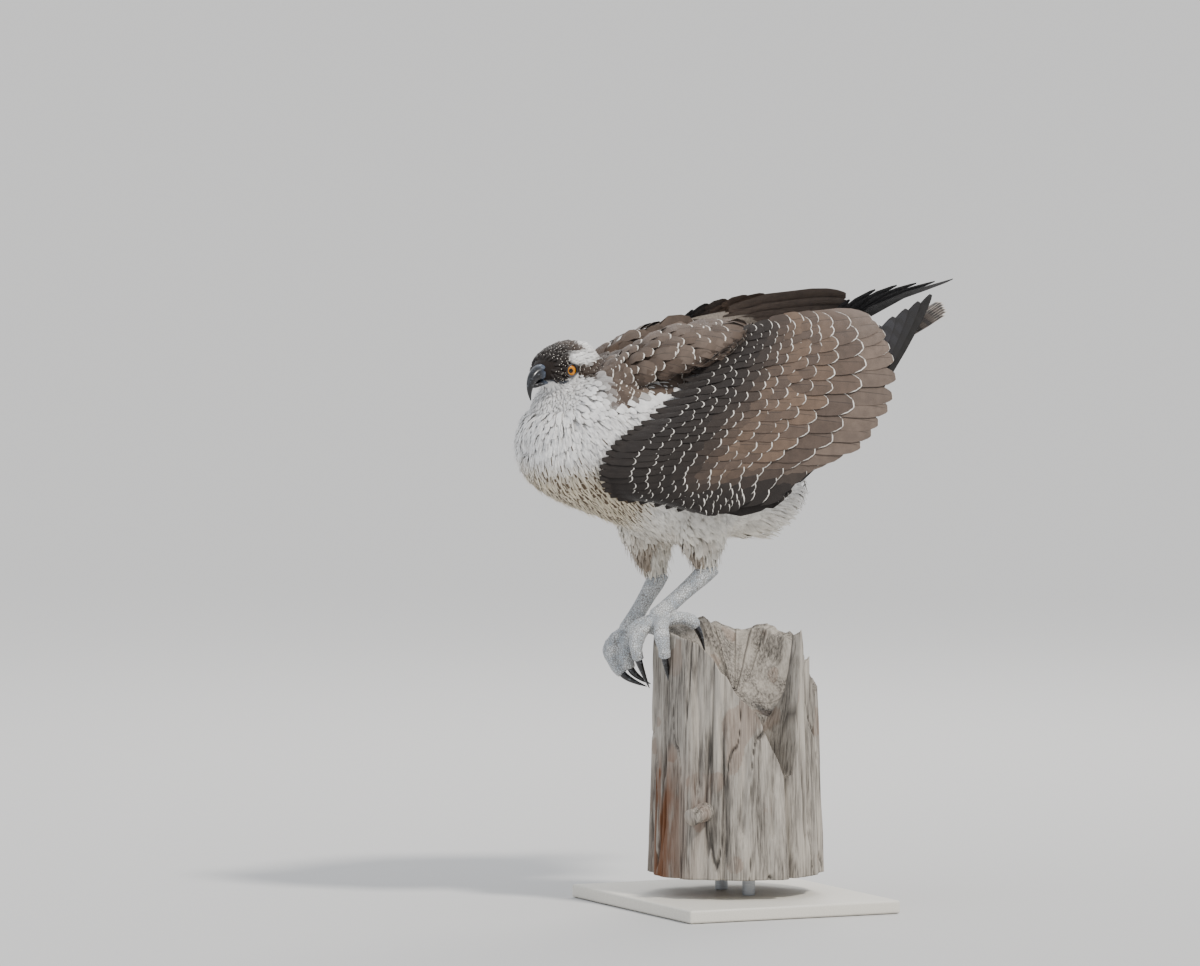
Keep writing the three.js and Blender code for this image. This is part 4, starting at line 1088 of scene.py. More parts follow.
def wing_coat(side, rng):
    """All the feathers of the forearm: secondaries, then greater, median and lesser coverts."""
    sizes = bpy.context.scene.osprey_sizes
    tiers = []

    def tier(
        count, t_from, t_to, half, base, sink, edge, tilt, low=0.0, high=1.0, skew=0.13, lift=0.0, stagger=0.0
    ):
        step = (high - low) / count
        s = low + (np.arange(count) + 0.5 + stagger) * step + rng.normal(0, step * 0.07, count)
        start, end = np.full(count, float(t_from)), np.full(count, float(t_to))
        wide = half * rng.normal(1, 0.05, count)
        line = wing_row(s, start, end, wide, base, sink, rng, skew, lift)
        length = np.linalg.norm(np.diff(line[0], axis=1), axis=2).sum(1)
        look = {
            "ground": wing_tone(s, end, rng),
            "fringe": np.tile(colour("#f6f1e8"), (count, 1)) * rng.uniform(0.8, 1, (count, 1)),
            "edge": edge * rng.uniform(0.7, 1.15, count), "streak": np.zeros(count), "bars": np.zeros(count),
            "chance": rng.random(count), "length": length,
        }
        tiers.append((*line, look, tilt))

    count = sizes.secondaries
    tier(4, 0.25, 1.1, 12, -8.5, 4, 0.3, 1.2, 0.965, 1.07, 0.0)
    tier(count, 0.3, 1.0, 16.5, -6.0, 4, 0.7, 1.9, -0.01, 1.0, 0.13, 5.0)
    tier(13, 0.3, 0.82, 15.5, -2.5, 4, 1.8, 1.7, -0.01, 1.0, 0.13, 4.0)
    tier(16, 0.3, 0.67, 12.0, 0.0, 4, 1.9, 1.3, -0.01, 1.0)
    rows = sizes.lesser_rows
    for k in range(rows):
        share = k / (rows - 1)
        end = 0.56 - 0.56 * share
        half = 9.6 - 4.2 * share
        tier(
            int(19 + 13 * share), end - 0.2 + 0.07 * share, end, half, 0.8 + 0.5 * share, 3.4 - share,
            1.9 - 0.35 * share, 0.9, -0.02, 1.04, 0.1, 0.0, 0.5 * (k % 2) - 0.25,
        )
    line, look, tilt = joined(tiers)
    total = len(line[0])
    look["root_uv"], look["patch"] = slots(total, 0, total)
    look["along"] = STATIONS["wing"]
    centre = placed(line[0], side)
    tips = placed(line[0] + line[2], side)
    reach = placed(line[0] + line[1], side)
    up, across = unit(tips - centre), unit(reach - centre)
    return centre, across, up, line[3], look, tilt


def forearm_place(side):
    """The flesh and lining of the forearm, under the feathers."""

    def place(a, turn):
        s = 0.02 + 0.96 * a
        c, d = np.cos(turn), np.sin(turn)
        t = 0.3 - 0.27 * c
        ends = np.sqrt(np.clip(1 - (2 * a - 1) ** 6, 0.02, 1))
        thick = 1 + 13 * np.sin(np.pi * np.clip(0.22 + t * 0.85, 0, 1)) * ends
        p, _, _ = sheet(s, t, np.where(d > 0, -3.5, -3.5 + thick * d))
        return placed(p, side)

    return place


def hand_point(path, t, across, h):
    t = np.broadcast_to(t, np.broadcast_shapes(np.shape(t), np.shape(across), np.shape(h)))
    p = curve(path, t)
    along = unit(curve(path, t + 0.01) - curve(path, t - 0.01))
    lean = 0.2 + 1.5 * ramp(t, 0.45, 1)
    out = np.stack([np.ones_like(lean), np.zeros_like(lean), lean], -1)
    side = unit(np.cross(along, out))
    side = side * -np.sign(side[..., 2:3])
    up = np.cross(side, along)
    up = up * np.sign(up[..., :1])
    return p + side * np.asarray(across)[..., None] + up * np.asarray(h)[..., None], side, up


def primaries(side, rng):
    along = STATIONS["wing"]
    count = PRIMARIES
    i = np.arange(count)[:, None]
    share = i / (count - 1)
    reach = 0.72 + 0.28 * share**0.8
    t = (0.2 + 0.02 * i) + (reach - 0.2 - 0.02 * i) * along
    lane = -9 + 18 * share
    fan = lane * (0.7 + 0.8 * along) - 16 * ramp(along, 0.4, 1) * (1 - share)
    rise = (3.2 - 1.3 * i) * ramp(along, 0, 0.25)
    centre, across, up = hand_point(HAND_PATH if side > 0 else FAR_HAND_PATH, t, fan, rise)
    half = (12 - 3.5 * ramp(along, 0.5, 1) * share) * outline(along, 0.12)[None]
    # Partly painted shade: the primaries are blackish brown, but the bluish grey of the near wing's first
    # primaries is their pale barred inner vanes painted as they look in shade, and the far wing's primaries
    # are painted near black without bars as painted shadow.
    tone = mix(colour("#4c4b52"), colour("#14110f"), share[:, 0] ** 0.6 if side > 0 else np.full(count, 0.9))
    look = {
        "ground": tone, "fringe": np.tile(colour("#6d6a68"), (count, 1)), "edge": np.full(count, 0.4),
        "streak": np.zeros(count), "bars": np.full(count, 0.5 if side > 0 else 0.0),
        "chance": rng.random(count), "length": np.full(count, 260.0), "along": along,
    }
    look["root_uv"], look["patch"] = slots(count, 0, count)
    mirror = np.array((side, 1, 1))
    return centre * mirror, across * mirror, up * mirror, half, look


def tail_axes():
    rise = math.radians(TAIL_RISE)
    return np.array((0, math.cos(rise), math.sin(rise))), np.array((0, -math.sin(rise), math.cos(rise)))


def tail_feathers(rng):
    along = STATIONS["wing"]
    way, up = tail_axes()
    count = RECTRICES
    seat = np.arange(count) - (count - 1) / 2
    order = np.abs(seat) - 0.5
    turn = np.radians(seat * 1.25)
    height = 3.6 - 1.35 * order - np.where(seat > 0, 0.68, 0)
    length = TAIL_LENGTH - 2 - 0.5 * order**2 + rng.normal(0, 1.2, count)
    reach = 24 + (length - 24)[:, None] * along
    across = np.sin(turn)[:, None] * reach * 0.9 + (seat * 1.1)[:, None]
    h = height[:, None] - 1 + ramp(along, 0, 0.3) - 3 * along**2
    centre = TAIL_BASE + way * reach[..., None] + up * h[..., None]
    centre[..., 0] += across
    side = np.zeros_like(centre)
    side[..., 0] = 1
    half = np.full((count, 1), 11.5) * outline(along, 0.5)[None]
    look = {
        "ground": np.tile(colour("#5b5048"), (count, 1)), "fringe": np.tile(colour("#cfc4b6"), (count, 1)),
        "edge": np.full(count, 1.8), "streak": np.zeros(count), "bars": np.full(count, 0.75),
        "chance": rng.random(count), "length": length, "along": along,
    }
    look["root_uv"], look["patch"] = slots(count, 0, count)
    return centre, side, np.broadcast_to(up, centre.shape).copy(), half, look


# Settings


class OspreySizes(bpy.types.PropertyGroup):
    skin_depth: bpy.props.FloatProperty(
        name="Depth of coat", description="How far the body feathers stand over the skin",
        default=0.007, min=0.002, max=0.015, unit="LENGTH",
    )
    secondaries: bpy.props.IntProperty(
        name="Secondaries", description="Long feathers along the trailing edge of each wing",
        default=17, min=8, max=25,
    )
    lesser_rows: bpy.props.IntProperty(
        name="Rows of lesser coverts", description="Rows of small scalloped feathers on each wing",
        default=10, min=4, max=14,
    )
    body_feathers: bpy.props.IntProperty(
        name="Feather draws", description="Places tried for the body's small feathers",
        default=60000, min=5000, max=120000,
    )


class OspreyColours(bpy.types.PropertyGroup):
    floor: bpy.props.FloatVectorProperty(
        name="Floor", description="Colour of the plain floor and backdrop",
        subtype="COLOR", size=4, default=linear("#c9c8c6"), min=0, max=1,
    )


# Pieces


class BuildSkin(bpy.types.Operator):
    """One skin over the torso, neck, head, thighs and shoulders"""

    bl_idname = "osprey.skin"
    bl_label = "Skin"

    def execute(self, context):
        depth = context.scene.osprey_sizes.skin_depth / MM
        bm = bmesh.new()
        sleeve(bm, torso_place(-depth), 60, 56)
        sleeve(bm, neck_place(-5.0), 20, 40)
        sleeve(bm, head_form(-2.2), 40, 48)
        for leg in LEGS.values():
            sleeve(bm, tube_place(thigh_stops(leg, -5.0), (0, 1, 0), 1.12), 24, 24)
        for side in (1, -1):
            sleeve(bm, arm_place(side, -5.0), 36, 28)
        sleeve(bm, tube_place(vent_stops(-8.0), (0, 0, 1), 0.9), 16, 28)
        mesh = fused("skin", bm, 2.4, 26)
        p = points_of(mesh)
        for side in (1, -1):
            eye = eye_centre(side)
            out = in_head(EYE_PLACE[0] + 2.4, side * (EYE_PLACE[1] + 8), EYE_PLACE[2]) - eye
            out = out / np.linalg.norm(out)
            rise = (p - eye) @ out
            radial = np.linalg.norm(p - eye - rise[:, None] * out, axis=1)
            kept = np.where((radial < 8.6) & (rise > -1), ramp(radial, 6.8, 8.4), 1.0)
            p = p + out * ((rise + 1) * (kept - 1))[:, None]
        mesh.vertices.foreach_set("co", world(p).astype(np.float32).ravel())
        ground = markings(p)[0]
        put_number(mesh, "ground", np.concatenate([ground, np.ones((len(p), 1))], 1), "FLOAT_COLOR")
        piece("skin", mesh, "skin", ("torso", "neck", "head", "thigh_left", "thigh_right"))
        return {"FINISHED"}


class BuildCoat(bpy.types.Operator):
    """The small feathers of the head, breast, belly, back, thighs and vent"""

    bl_idname = "osprey.coat"
    bl_label = "Body feathers"

    def execute(self, context):
        rng = np.random.default_rng(SEED)
        depth = context.scene.osprey_sizes.skin_depth / MM
        mesh = bpy.data.objects["skin"].data
        co = points_of(mesh)
        faces = [tuple(f.vertices) for f in mesh.polygons]
        finder = BVHTree.FromPolygons([tuple(q) for q in co], faces)

        def kinds(p):
            f, l, u = head_place(p)
            head = (f > -52) & (np.abs(l) < 36) & (u > -40) & (p[:, 2] > HEAD_BOTTOM) & (p[:, 1] < -125)
            brown = markings(p)[4]
            arm = np.zeros(len(p), bool)
            for side in (1, -1):
                q = p.copy()
                q[:, 0] *= side
                line = curve(UPPER_ARM, np.linspace(0.12, 1, 24))
                gap = np.linalg.norm(q[:, None] - line[None, :, :3], axis=2) - line[None, :, 3]
                arm |= (gap.min(1) < 2) & (q[:, 2] > 556 + 0.15 * (q[:, 1] + 150))
            return head, (brown > 0.5) & ~head, arm & ~head

        def spacing(p):
            head, back, arm = kinds(p)
            f, l, u = head_place(p)
            gap = np.full(len(p), BREAST_COAT.gap)
            gap = np.where(p[:, 2] < THIGH_TOP, THIGH_COAT.gap, gap)
            gap = np.where(back | arm, BACK_COAT.gap, gap)
            gap = np.where(on_shoulder(p) & ~head, SHOULDER_COAT.gap, gap)
            gap = np.where(head, 2.3 + 0.022 * np.abs(f - 20), gap)
            bill = (f > 17) & (np.abs(l) < 12) & (np.abs(u) < 14)
            return np.where(bill | (eye_distance(p) < EYE_RADIUS + 1.0), -1.0, gap)

        roots = scatter(mesh, spacing, rng, context.scene.osprey_sizes.body_feathers)
        head, back, arm = kinds(roots)
        shoulder = on_shoulder(roots) & ~head
        f = head_place(roots)[0]
        count = len(roots)
        thigh = roots[:, 2] < THIGH_TOP
        length = np.where(head, 7.0 + 0.13 * np.clip(20 - f, 0, 60), BREAST_COAT.length)
        length = np.where(thigh, THIGH_COAT.length, length)
        length = np.where(shoulder, SHOULDER_COAT.length, length)
        big = (arm | back) & ~head
        size = np.clip(ramp(roots[:, 1], -150, -40), 0, 1)
        length = np.where(big, BACK_COAT.length + 20 * size, length)
        half = np.where(head, 1.15 + 0.018 * np.clip(20 - f, 0, 60), BREAST_COAT.half)
        half = np.where(thigh, THIGH_COAT.half, half)
        half = np.where(shoulder, SHOULDER_COAT.half, half)
        half = np.where(big, BACK_COAT.half + 4.0 * size, half)
        deep = np.where(head, 2.2, depth * 0.85)
        deep = np.where(thigh, THIGH_COAT.depth, deep)
        deep = np.where(big, BACK_COAT.depth, deep)
        vary = rng.normal(1, 0.09, count)
        vent = (roots[:, 1] > 5) & (roots[:, 2] < 470)
        length = np.where(vent, 26.0, length)
        lift = np.where(vent, 5.0, np.where(head, 0.8, np.where(big, 0.0, 1.6)))
        lift = lift * rng.uniform(0.2, 1.3, count)
        to_eye = np.maximum(2.2, eye_distance(roots) - EYE_RADIUS + 0.6)
        length = np.where(head, np.minimum(length, to_eye), length)
        look = body_look(roots, rng)
        on_arm = arm[:, None]
        arm_tone = mix(BROWN, MID, 0.35 * rng.random(count)) * rng.normal(1, 0.07, count)[:, None]
        look["ground"] = np.where(on_arm, arm_tone, look["ground"])
        look["fringe"] = np.where(on_arm, PALE, look["fringe"])
        look["edge"] = np.where(arm, 1.7, look["edge"])
        look["streak"] = np.where(arm, 0.0, look["streak"])
        groups = {
            "head_feathers": head, "back_feathers": big,
            "body_feathers": ~head & ~big & ~thigh,
            "thigh_feathers": ~head & ~big & thigh,
        }
        shared = []
        for name, mask in groups.items():
            chosen = np.flatnonzero(mask)
            chosen = chosen[np.argsort(roots[chosen, 1])]
            parts = max(1, math.ceil(len(chosen) / PIECE_FEATHERS))
            for i, lot in enumerate(np.array_split(chosen, parts)):
                shared.append((f"{name}_{i + 1}" if parts > 1 else name, lot))
        for name, chosen in shared:
            part = {k: (v[chosen] if isinstance(v, np.ndarray) else v) for k, v in look.items()}
            made = laid(
                name, finder, roots[chosen], (length * vary)[chosen], (half * vary)[chosen], deep[chosen],
                lift[chosen], rng, "body", look=part, tilt=0.5 if name.startswith("back") else 0.2,
                point=0.3 if name.startswith("back") else 0.08,
            )
            piece(name, made, "feather")
        self.wisps(finder, mesh, rng)
        return {"FINISHED"}

    def wisps(self, finder, mesh, rng):
        """Fine loose strands that soften the throat, breast, thighs and vent."""

        def spacing(p):
            f, _, u = head_place(p)
            brown = markings(p)[4]
            gap = np.where(brown > 0.3, -1.0, 3.6)
            gap = np.where(on_vent(p), 2.6, gap)
            gap = np.where((f > -50) & (f < 10) & (u < -8) & (p[:, 2] > HEAD_BOTTOM), 3.0, gap)
            return np.where((f > 14) & (u > -20) & (p[:, 2] > HEAD_BOTTOM), -1.0, gap)

        roots = scatter(mesh, spacing, rng, WISP_DRAWS)
        count = len(roots)
        vent = on_vent(roots)
        face = roots[:, 2] > HEAD_BOTTOM
        length = np.where(vent, 38.0, np.where(face, 9.0, 17.0)) * rng.uniform(0.7, 1.2, count)
        half = np.where(vent, 1.5, 0.8) * rng.uniform(0.7, 1.2, count)
        deep = np.where(vent, 8.0, np.where(face, 2.8, 6.4))
        lift = np.where(vent, 12.0, np.where(face, 2.2, 4.0)) * rng.uniform(0.0, 1.3, count)
        look = body_look(roots, rng)
        look["streak"] = look["streak"] * 0
        made = laid(
            "down_wisps", finder, roots, length, half, deep, lift, rng, "wisp",
            look=look, point=0.08, thick=0.3,
        )
        piece("down_wisps", made, "feather", ("vent_tufts",))


class BuildWings(bpy.types.Operator):
    """Both folded wings, tier by tier, and the flight feathers under them"""

    bl_idname = "osprey.wings"
    bl_label = "Wings"

    def execute(self, context):
        for name, side in (("left", 1), ("right", -1)):
            rng = np.random.default_rng(SEED + 20 + side)
            bm = bmesh.new()
            sleeve(bm, forearm_place(side), 40, 36)
            mesh = built(f"forearm_{name}", bm)
            paint_ground(mesh, colour("#8f857a"))
            piece(f"forearm_{name}", mesh, "skin")
            centre, across, up, half, look, tilt = wing_coat(side, rng)
            made = feather_mesh(
                f"wing_feathers_{name}", centre, across, up, half, look, columns=5, thick=0.6,
                tilt=tilt[:, None], camber=0.09,
            )
            piece(made.name, made, "feather", (f"wing_{name}_inner", f"wing_{name}_upper"))
            centre, across, up, half, look = primaries(side, rng)
            made = feather_mesh(
                f"primaries_{name}", centre, across, up, half, look,
                columns=5, thick=0.7, tilt=0.3, camber=0.1,
            )
            piece(made.name, made, "feather", (f"wing_{name}_hand",))
        return {"FINISHED"}


class BuildTail(bpy.types.Operator):
    """Twelve tail feathers on a short root"""

    bl_idname = "osprey.tail"
    bl_label = "Tail"

    def execute(self, context):
        rng = np.random.default_rng(SEED + 5)
        centre, side, up, half, look = tail_feathers(rng)
        made = feather_mesh(
            "tail_feathers", centre, side, up, half, look, columns=5, thick=0.6, tilt=0.3, camber=0.06
        )
        piece("tail_feathers", made, "feather", ("tail",))
        way, rise = tail_axes()

        def root(a, turn):
            reach, wide, high = curve([(-22, 24, 14), (0, 23, 13), (26, 19, 9), (52, 13, 7), (66, 7, 5)], a).T
            p = TAIL_BASE + way * reach[:, None] + rise * (high * np.sin(turn))[:, None]
            p[:, 0] += wide * np.cos(turn)
            return p

        bm = bmesh.new()
        sleeve(bm, root, 20, 28)
        mesh = built("tail_root", bm)
        paint_ground(mesh, BROWN)
        piece("tail_root", mesh, "skin")
        return {"FINISHED"}


class BuildHead(bpy.types.Operator):
    """Bill, eyes with clear corneas, and eyelids"""

    bl_idname = "osprey.head"
    bl_label = "Bill and eyes"

    def bill(self, name, stops, rows):
        def place(a, turn):
            forward, up, half, high, lean = curve(stops, a).T
            lift = high * np.sin(turn)
            ridge = 1 - 0.12 * np.abs(np.cos(turn)) ** 6
            lean = np.radians(lean)
            left = half * ridge * np.cos(turn)
            return in_head(forward + lift * np.sin(lean), left, up + lift * np.cos(lean))

        bm = bmesh.new()
        sleeve(bm, place, rows, 40)
        mesh = built(name, bm)
        f, l, u = head_place(points_of(mesh))
        if name == "bill_horn_upper":
            p = points_of(mesh)
            for side in (1, -1):
                slope = u - 6.2 + 0.35 * (f - BILL_BASE - 6)
                slit = np.stack([(f - BILL_BASE - 6.2) / 2.4, (l - side * 8.0) / 3.0, slope / 1.2], -1)
                sink = np.exp(-((slit**2).sum(1)))
                p = p - HEAD_AXES[1] * (side * 2.4 * sink)[:, None]
            mesh.vertices.foreach_set("co", world(p).astype(np.float32).ravel())
        reach = np.clip((f - BILL_BASE) / 26 + np.maximum(0, -u - 4) / 26, 0, 1)
        if name == "bill_horn_lower":
            reach = np.clip((f - BILL_BASE) / 24 + 0.1, 0, 1)
        put_number(mesh, "reach", reach)
        return mesh

    def execute(self, context):
        upper = self.bill("bill_horn_upper", UPPER_BILL, 64)
        piece("bill_horn_upper", upper, "bill", ("bill_upper",))
        lower = self.bill("bill_horn_lower", LOWER_BILL, 36)
        piece("bill_horn_lower", lower, "bill", ("bill_lower",))
        for name, side in (("left", 1), ("right", -1)):
            centre = eye_centre(side)
            gaze = unit(in_head(EYE_PLACE[0] + 5.6, side * (EYE_PLACE[1] + 8), EYE_PLACE[2] + 0.4) - centre)
            turn = np.array(Vector((0, 0, 1)).rotation_difference(Vector(gaze)).to_matrix())
            for part, radius in (("iris", EYE_RADIUS - 0.35), ("cornea", EYE_RADIUS)):
                bm = bmesh.new()
                sleeve(bm, self.ball(centre, turn, radius, part == "iris"), 40, 48)
                mesh = built(f"{part}_{name}", bm)
                x, y, z = ((points_of(mesh) - centre) @ turn).T
                put_number(mesh, "ring", np.where(z > 0.001, np.hypot(x, y), EYE_RADIUS + 0.4))
                replaced = (f"eye_{name}",) if part == "iris" else ()
                piece(f"{part}_{name}", mesh, part, replaced)
            self.lid(name, side)
        return {"FINISHED"}

    def ball(self, centre, turn, radius, dished):
        """An eyeball whose pole looks along the gaze, with a dished iris and a deeper pupil."""

        def place(a, around):
            off, z = radius * np.sin(math.pi * a), radius * np.cos(math.pi * a)
            if dished:
                dish = IRIS_DISH * np.sqrt(np.clip(1 - off / IRIS_RADIUS, 0, 1))
                dish = dish + PUPIL_DEPTH * (off < PUPIL_RADIUS)
                z = z - dish * (z > 0) * (off < IRIS_RADIUS)
            return centre + np.stack([off * np.cos(around), off * np.sin(around), z], -1) @ turn.T

        return place

    def lid(self, name, side):
        out = unit(np.array((0.3, side, 0.02)))
        across = unit(np.cross((0, 0, 1.0), out))
        upward = np.cross(out, across)
        middle = np.array((EYE_PLACE[0], side * EYE_PLACE[1], EYE_PLACE[2]))

        def place(a, turn):
            round_eye = a * 2 * math.pi
            wide = 6.9 + 0.4 * np.sin(round_eye)
            ray = across * np.cos(round_eye)[:, None] + upward * (np.sin(round_eye) * 0.93)[:, None]
            q = middle + ray * (wide + 1.15 * np.cos(turn))[:, None]
            q = q + out * (5.7 + 1.3 * np.sin(turn))[:, None]
            return in_head(q[:, 0], q[:, 1], q[:, 2])

        bm = bmesh.new()
        sleeve(bm, place, 64, 14, closed=False)
        mesh = built(f"eyelids_{name}", bm)
        u = head_place(points_of(mesh))[2]
        put_number(mesh, "reach", np.where(u > EYE_PLACE[2] - 3.5, 1.0, 0.0))
        piece(f"eyelids_{name}", mesh, "lid")


class BuildFeet(bpy.types.Operator):
    """Scaled shanks and toes, and black claws"""

    bl_idname = "osprey.feet"
    bl_label = "Feet and claws"

    def execute(self, context):
        for name, leg in LEGS.items():
            ankle, heel = np.array(leg["ankle"], float), np.array(leg["heel"], float)
            bm = bmesh.new()
            shank = [tuple(heel + (ankle - heel) * k) + (r,) for k, r in SHANK_STATIONS]
            sleeve(bm, tube_place(shank, (1, 0, 0), 1.06), 30, 24)
            for toe in TOES[name]:
                stops = [tuple(ankle + np.array(s[:3])) + (s[3],) for s in toe]
                place = tube_place(stops)

                def knobbed(a, turn, place=place, stops=stops):
                    middle = curve(stops, a)[:, :3]
                    swell = 1 + 0.055 * np.cos(a * 2 * math.pi * 6) * (0.6 + 0.4 * np.sin(turn))
                    return middle + (place(a, turn) - middle) * (swell * np.where(a > 0.99, 0.8, 1))[:, None]

                sleeve(bm, knobbed, 40, 20)
            ball = bmesh.ops.create_uvsphere(bm, u_segments=24, v_segments=16, radius=11.5 * MM)["verts"]
            bmesh.ops.translate(bm, verts=ball, vec=Vector(world(ankle + (1, 0, -3))))
            mesh = fused(f"foot_skin_{name}", bm, 1.3, 3)
            piece(mesh.name, mesh, "scales", (f"foot_{name}", f"shank_{name}"))
            self.claws(name, ankle)
        return {"FINISHED"}

    def claws(self, name, ankle):
        bm = bmesh.new()
        reaches = []
        for toe, curl in zip(TOES[name], CLAW_CURLS[name]):
            last, before = np.array(toe[-1][:3], float), np.array(toe[-2][:3], float)
            along = unit(last - before)
            stops = []
            for share, r in CLAW_STATIONS:
                ahead = -2.0 + 21 * share * (1 - 0.33 * share)
                p = ankle + last + along * ahead + np.array(curl) * 0.9 * share**2
                stops.append(tuple(p) + (r,))
            fresh = sleeve(bm, tube_place(stops, (0.3, 0.9, 0.4)), 28, 16)
            root = Vector(world(stops[0][:3]))
            reaches += [(v.co - root).length / 0.02 for v in fresh]
        mesh = built(f"claws_{name}", bm)
        put_number(mesh, "reach", np.clip(reaches, 0, 1))
        piece(mesh.name, mesh, "claw", tuple(f"claw_{name}_{i + 1}" for i in range(4)))


class BuildPerch(bpy.types.Operator):
    """The broken trunk, split and weathered"""

    bl_idname = "osprey.perch"
    bl_label = "Trunk"

    def execute(self, context):
        centre = np.array((-MIDLINE_X, 0.0, 0.0))

        def rim(turn):
            wrapped = np.degrees(turn) % 360
            jag = 7 * (drift(np.stack([wrapped, 0 * wrapped, 0 * wrapped], -1), (5, 1, 1)) - 0.5)
            return np.interp(wrapped, *zip(*TRUNK_RIM)) + jag

        def radius(turn, share):
            ridge = 2.2 * np.sin(5 * turn + 1.2) + 1.5 * np.sin(11 * turn + share * 2)
            ridge = ridge + 1.1 * np.sin(17 * turn)
            lobe = 15 * np.exp(-(((turn - math.radians(208)) / 0.3) ** 2)) * ramp(share, 0.3, 0.9)
            return 93 - 8 * share + ridge + lobe - trunk_split(turn, share)

        def at(turn, r, z):
            return centre + np.stack([r * np.cos(turn), r * np.sin(turn), z], -1)

        def place(a, turn):
            outer = np.clip(a / 0.7, 0, 1)
            inner = np.clip((a - 0.7) / 0.3, 0, 1)
            share = np.interp(inner, (0, 0.12, 0.4, 0.7, 1), (1, 0.87, 0.74, 0.5, 0.16))
            blend = np.interp(inner, (0, 0.12, 0.4, 0.7, 1), (0, 0.04, 0.5, 0.86, 1))
            top = rim(turn)
            floor = np.minimum(226 - 74 * share * np.cos(turn - math.radians(8)), top)
            inside = top + (floor - top) * blend - 2
            z = np.where(inner > 0, inside, TRUNK_BOTTOM + (top - TRUNK_BOTTOM) * outer)
            r = radius(turn, outer) * share
            wall = trunk_wall(turn, z)
            fine = drift(wall, (3.0, 3.0, 46)) * 1.6 + drift(wall, (8, 8, 80)) * 2.6
            split = fine_split(wall)
            crack = 3.2 * ramp(-split, -0.03, 0.0)
            return at(turn, r - 2.4 + fine - crack, z)

        bm = bmesh.new()
        sleeve(bm, place, 170, 400)
        knot = [(40, -52, 108, 13), (60, -66, 109, 11), (70, -78, 107, 9), (74, -88, 105, 9.6)]
        knot = [(centre[0] + x, y, z, r) for x, y, z, r in knot]
        sleeve(bm, tube_place(knot), 20, 28)
        mesh = built("weathered_trunk", bm)
        p = points_of(mesh) - centre
        split = fine_split(trunk_wall(np.arctan2(p[:, 1], p[:, 0]), p[:, 2]))
        # Painted shade in the carved splits, for the wood's crack colour.
        put_number(mesh, "crack", ramp(-split, -0.025, -0.003) * 0.65)
        turn = np.degrees(np.arctan2(p[:, 1], p[:, 0])) % 360
        rot = np.exp(-(((turn - 272) / 24) ** 2)) * ramp(-p[:, 2], -190, -120)
        rot = rot * (np.hypot(p[:, 0], p[:, 1]) > 70)
        put_number(mesh, "rot", np.clip(rot + 0.3 * (drift(p, 30) > 0.75), 0, 1))
        piece("weathered_trunk", mesh, "wood", ("perch_trunk",))
        return {"FINISHED"}


class BuildStand(bpy.types.Operator):
    """Finish of the stand's base and rods"""

    bl_idname = "osprey.stand"
    bl_label = "Stand"

    def execute(self, context):
        low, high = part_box("stand_base")
        bm = bmesh.new()
        bmesh.ops.create_cube(bm, size=1.0)
        size, middle = Vector(high) - Vector(low), (Vector(high) + Vector(low)) / 2
        bmesh.ops.scale(bm, vec=size, verts=bm.verts)
        bmesh.ops.translate(bm, vec=middle, verts=bm.verts)
        bmesh.ops.bevel(
            bm, geom=bm.edges[:], offset=0.0025, segments=3, affect="EDGES", profile=0.5, material=-1
        )
        board = piece("base_board", built("base_board", bm), "board", ("stand_base",))
        board.modifiers.new("flat", "WEIGHTED_NORMAL").keep_sharp = True
        for name in ("stand_rod_left", "stand_rod_right"):
            frame["nodes"][name].data.materials.clear()
            frame["nodes"][name].data.materials.append(finish_of("rod"))
        return {"FINISHED"}


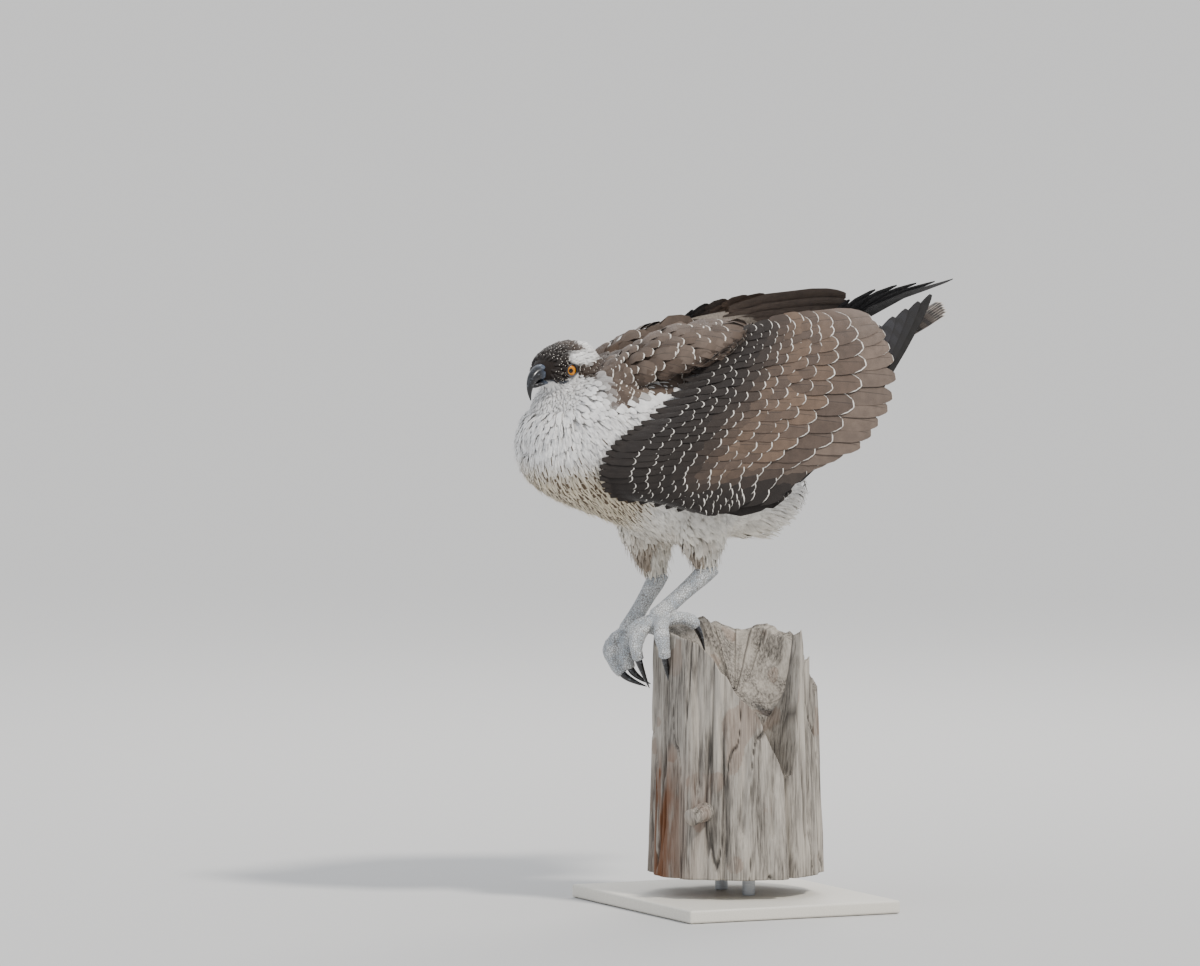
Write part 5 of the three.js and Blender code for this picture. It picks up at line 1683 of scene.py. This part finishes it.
class BuildStage(bpy.types.Operator):
    """Plain floor and backdrop, soft lights and the camera at the photo's angle"""

    bl_idname = "osprey.stage"
    bl_label = "Stage"

    def execute(self, context):
        scene = context.scene
        turn, tilt = math.radians(VIEW_TURN), math.radians(VIEW_TILT)
        right = Vector((math.cos(turn), math.sin(turn), 0))
        above = Vector((-math.sin(turn) * math.sin(tilt), math.cos(turn) * math.sin(tilt), math.cos(tilt)))
        back = Vector((math.sin(turn) * math.cos(tilt), -math.cos(turn) * math.cos(tilt), math.sin(tilt)))
        aim = right * -0.1458 + above * 0.4558
        camera = bpy.data.objects.new("camera", bpy.data.cameras.new("camera"))
        camera.data.sensor_width = SENSOR_WIDTH
        camera.data.lens = SENSOR_WIDTH * CAMERA_DISTANCE / VIEW_WIDTH
        camera.data.clip_end = 1000
        camera.location = aim + back * CAMERA_DISTANCE
        camera.rotation_euler = back.to_track_quat("Z", "Y").to_euler()
        scene.collection.objects.link(camera)
        scene.camera = camera
        bm = bmesh.new()
        floor = bmesh.ops.create_grid(bm, x_segments=1, y_segments=1, size=FLOOR_SIZE)["verts"]
        bmesh.ops.translate(bm, verts=floor, vec=(0, 0, -0.0005))
        ground = bpy.data.objects.new("floor", built("floor", bm))
        scene.collection.objects.link(ground)
        plain, _, shader = new_material("seamless_paper", 0.9, 0.1)
        shader.inputs["Base Color"].default_value = tuple(scene.osprey_colours.floor)
        ground.data.materials.append(plain)
        self.lights(scene, right, back)
        return {"FINISHED"}

    def lights(self, scene, right, back):
        sky = bpy.data.worlds.new("studio")
        sky.use_nodes = True
        sky.node_tree.nodes["Background"].inputs["Color"].default_value = (0.86, 0.9, 0.97, 1)
        sky.node_tree.nodes["Background"].inputs["Strength"].default_value = 0.92
        scene.world = sky
        target = Vector((-0.05, 0.0, 0.45))
        for name, kind, place, size, power, tone in (
            ("key", "SUN", right * 1.5 + back * 1.5 + Vector((0, 0, 2.4)), 0.12, 2.9, (1.0, 0.96, 0.9)),
            ("fill", "AREA", right * -2.4 + back * 1.6 + Vector((0, 0, 1.0)), 2.4, 14, (0.85, 0.91, 1.0)),
            ("rim", "AREA", right * 0.5 - back * 2.2 + Vector((0, 0, 2.0)), 1.4, 40, (1.0, 0.98, 0.95)),
        ):
            light = bpy.data.objects.new(name, bpy.data.lights.new(name, kind))
            if kind == "SUN":
                light.data.angle = size
            else:
                light.data.size = size
            light.data.energy = power
            light.data.color = tone
            light.location = target + place
            light.rotation_euler = place.to_track_quat("Z", "Y").to_euler()
            scene.collection.objects.link(light)


class OspreyPanel(bpy.types.Panel):
    bl_idname = "VIEW3D_PT_osprey"
    bl_label = "Osprey"
    bl_space_type = "VIEW_3D"
    bl_region_type = "UI"
    bl_category = "Osprey"

    def draw(self, context):
        for group in (context.scene.osprey_sizes, context.scene.osprey_colours):
            for name in group.__annotations__:
                self.layout.prop(group, name)
        for step in STEPS:
            self.layout.operator(step.bl_idname)


STEPS = (
    BuildSkin, BuildCoat, BuildWings, BuildTail, BuildHead, BuildFeet, BuildPerch, BuildStand, BuildStage,
)
CLASSES = (OspreySizes, OspreyColours, *STEPS, OspreyPanel)


def register():
    for made in CLASSES:
        bpy.utils.register_class(made)
    bpy.types.Scene.osprey_sizes = bpy.props.PointerProperty(type=OspreySizes)
    bpy.types.Scene.osprey_colours = bpy.props.PointerProperty(type=OspreyColours)


def unregister():
    del bpy.types.Scene.osprey_colours
    del bpy.types.Scene.osprey_sizes
    for made in reversed(CLASSES):
        bpy.utils.unregister_class(made)


def main():
    register()
    for step in STEPS:
        group, name = step.bl_idname.split(".")
        getattr(getattr(bpy.ops, group), name)()


if __name__ == "__main__":
    main()
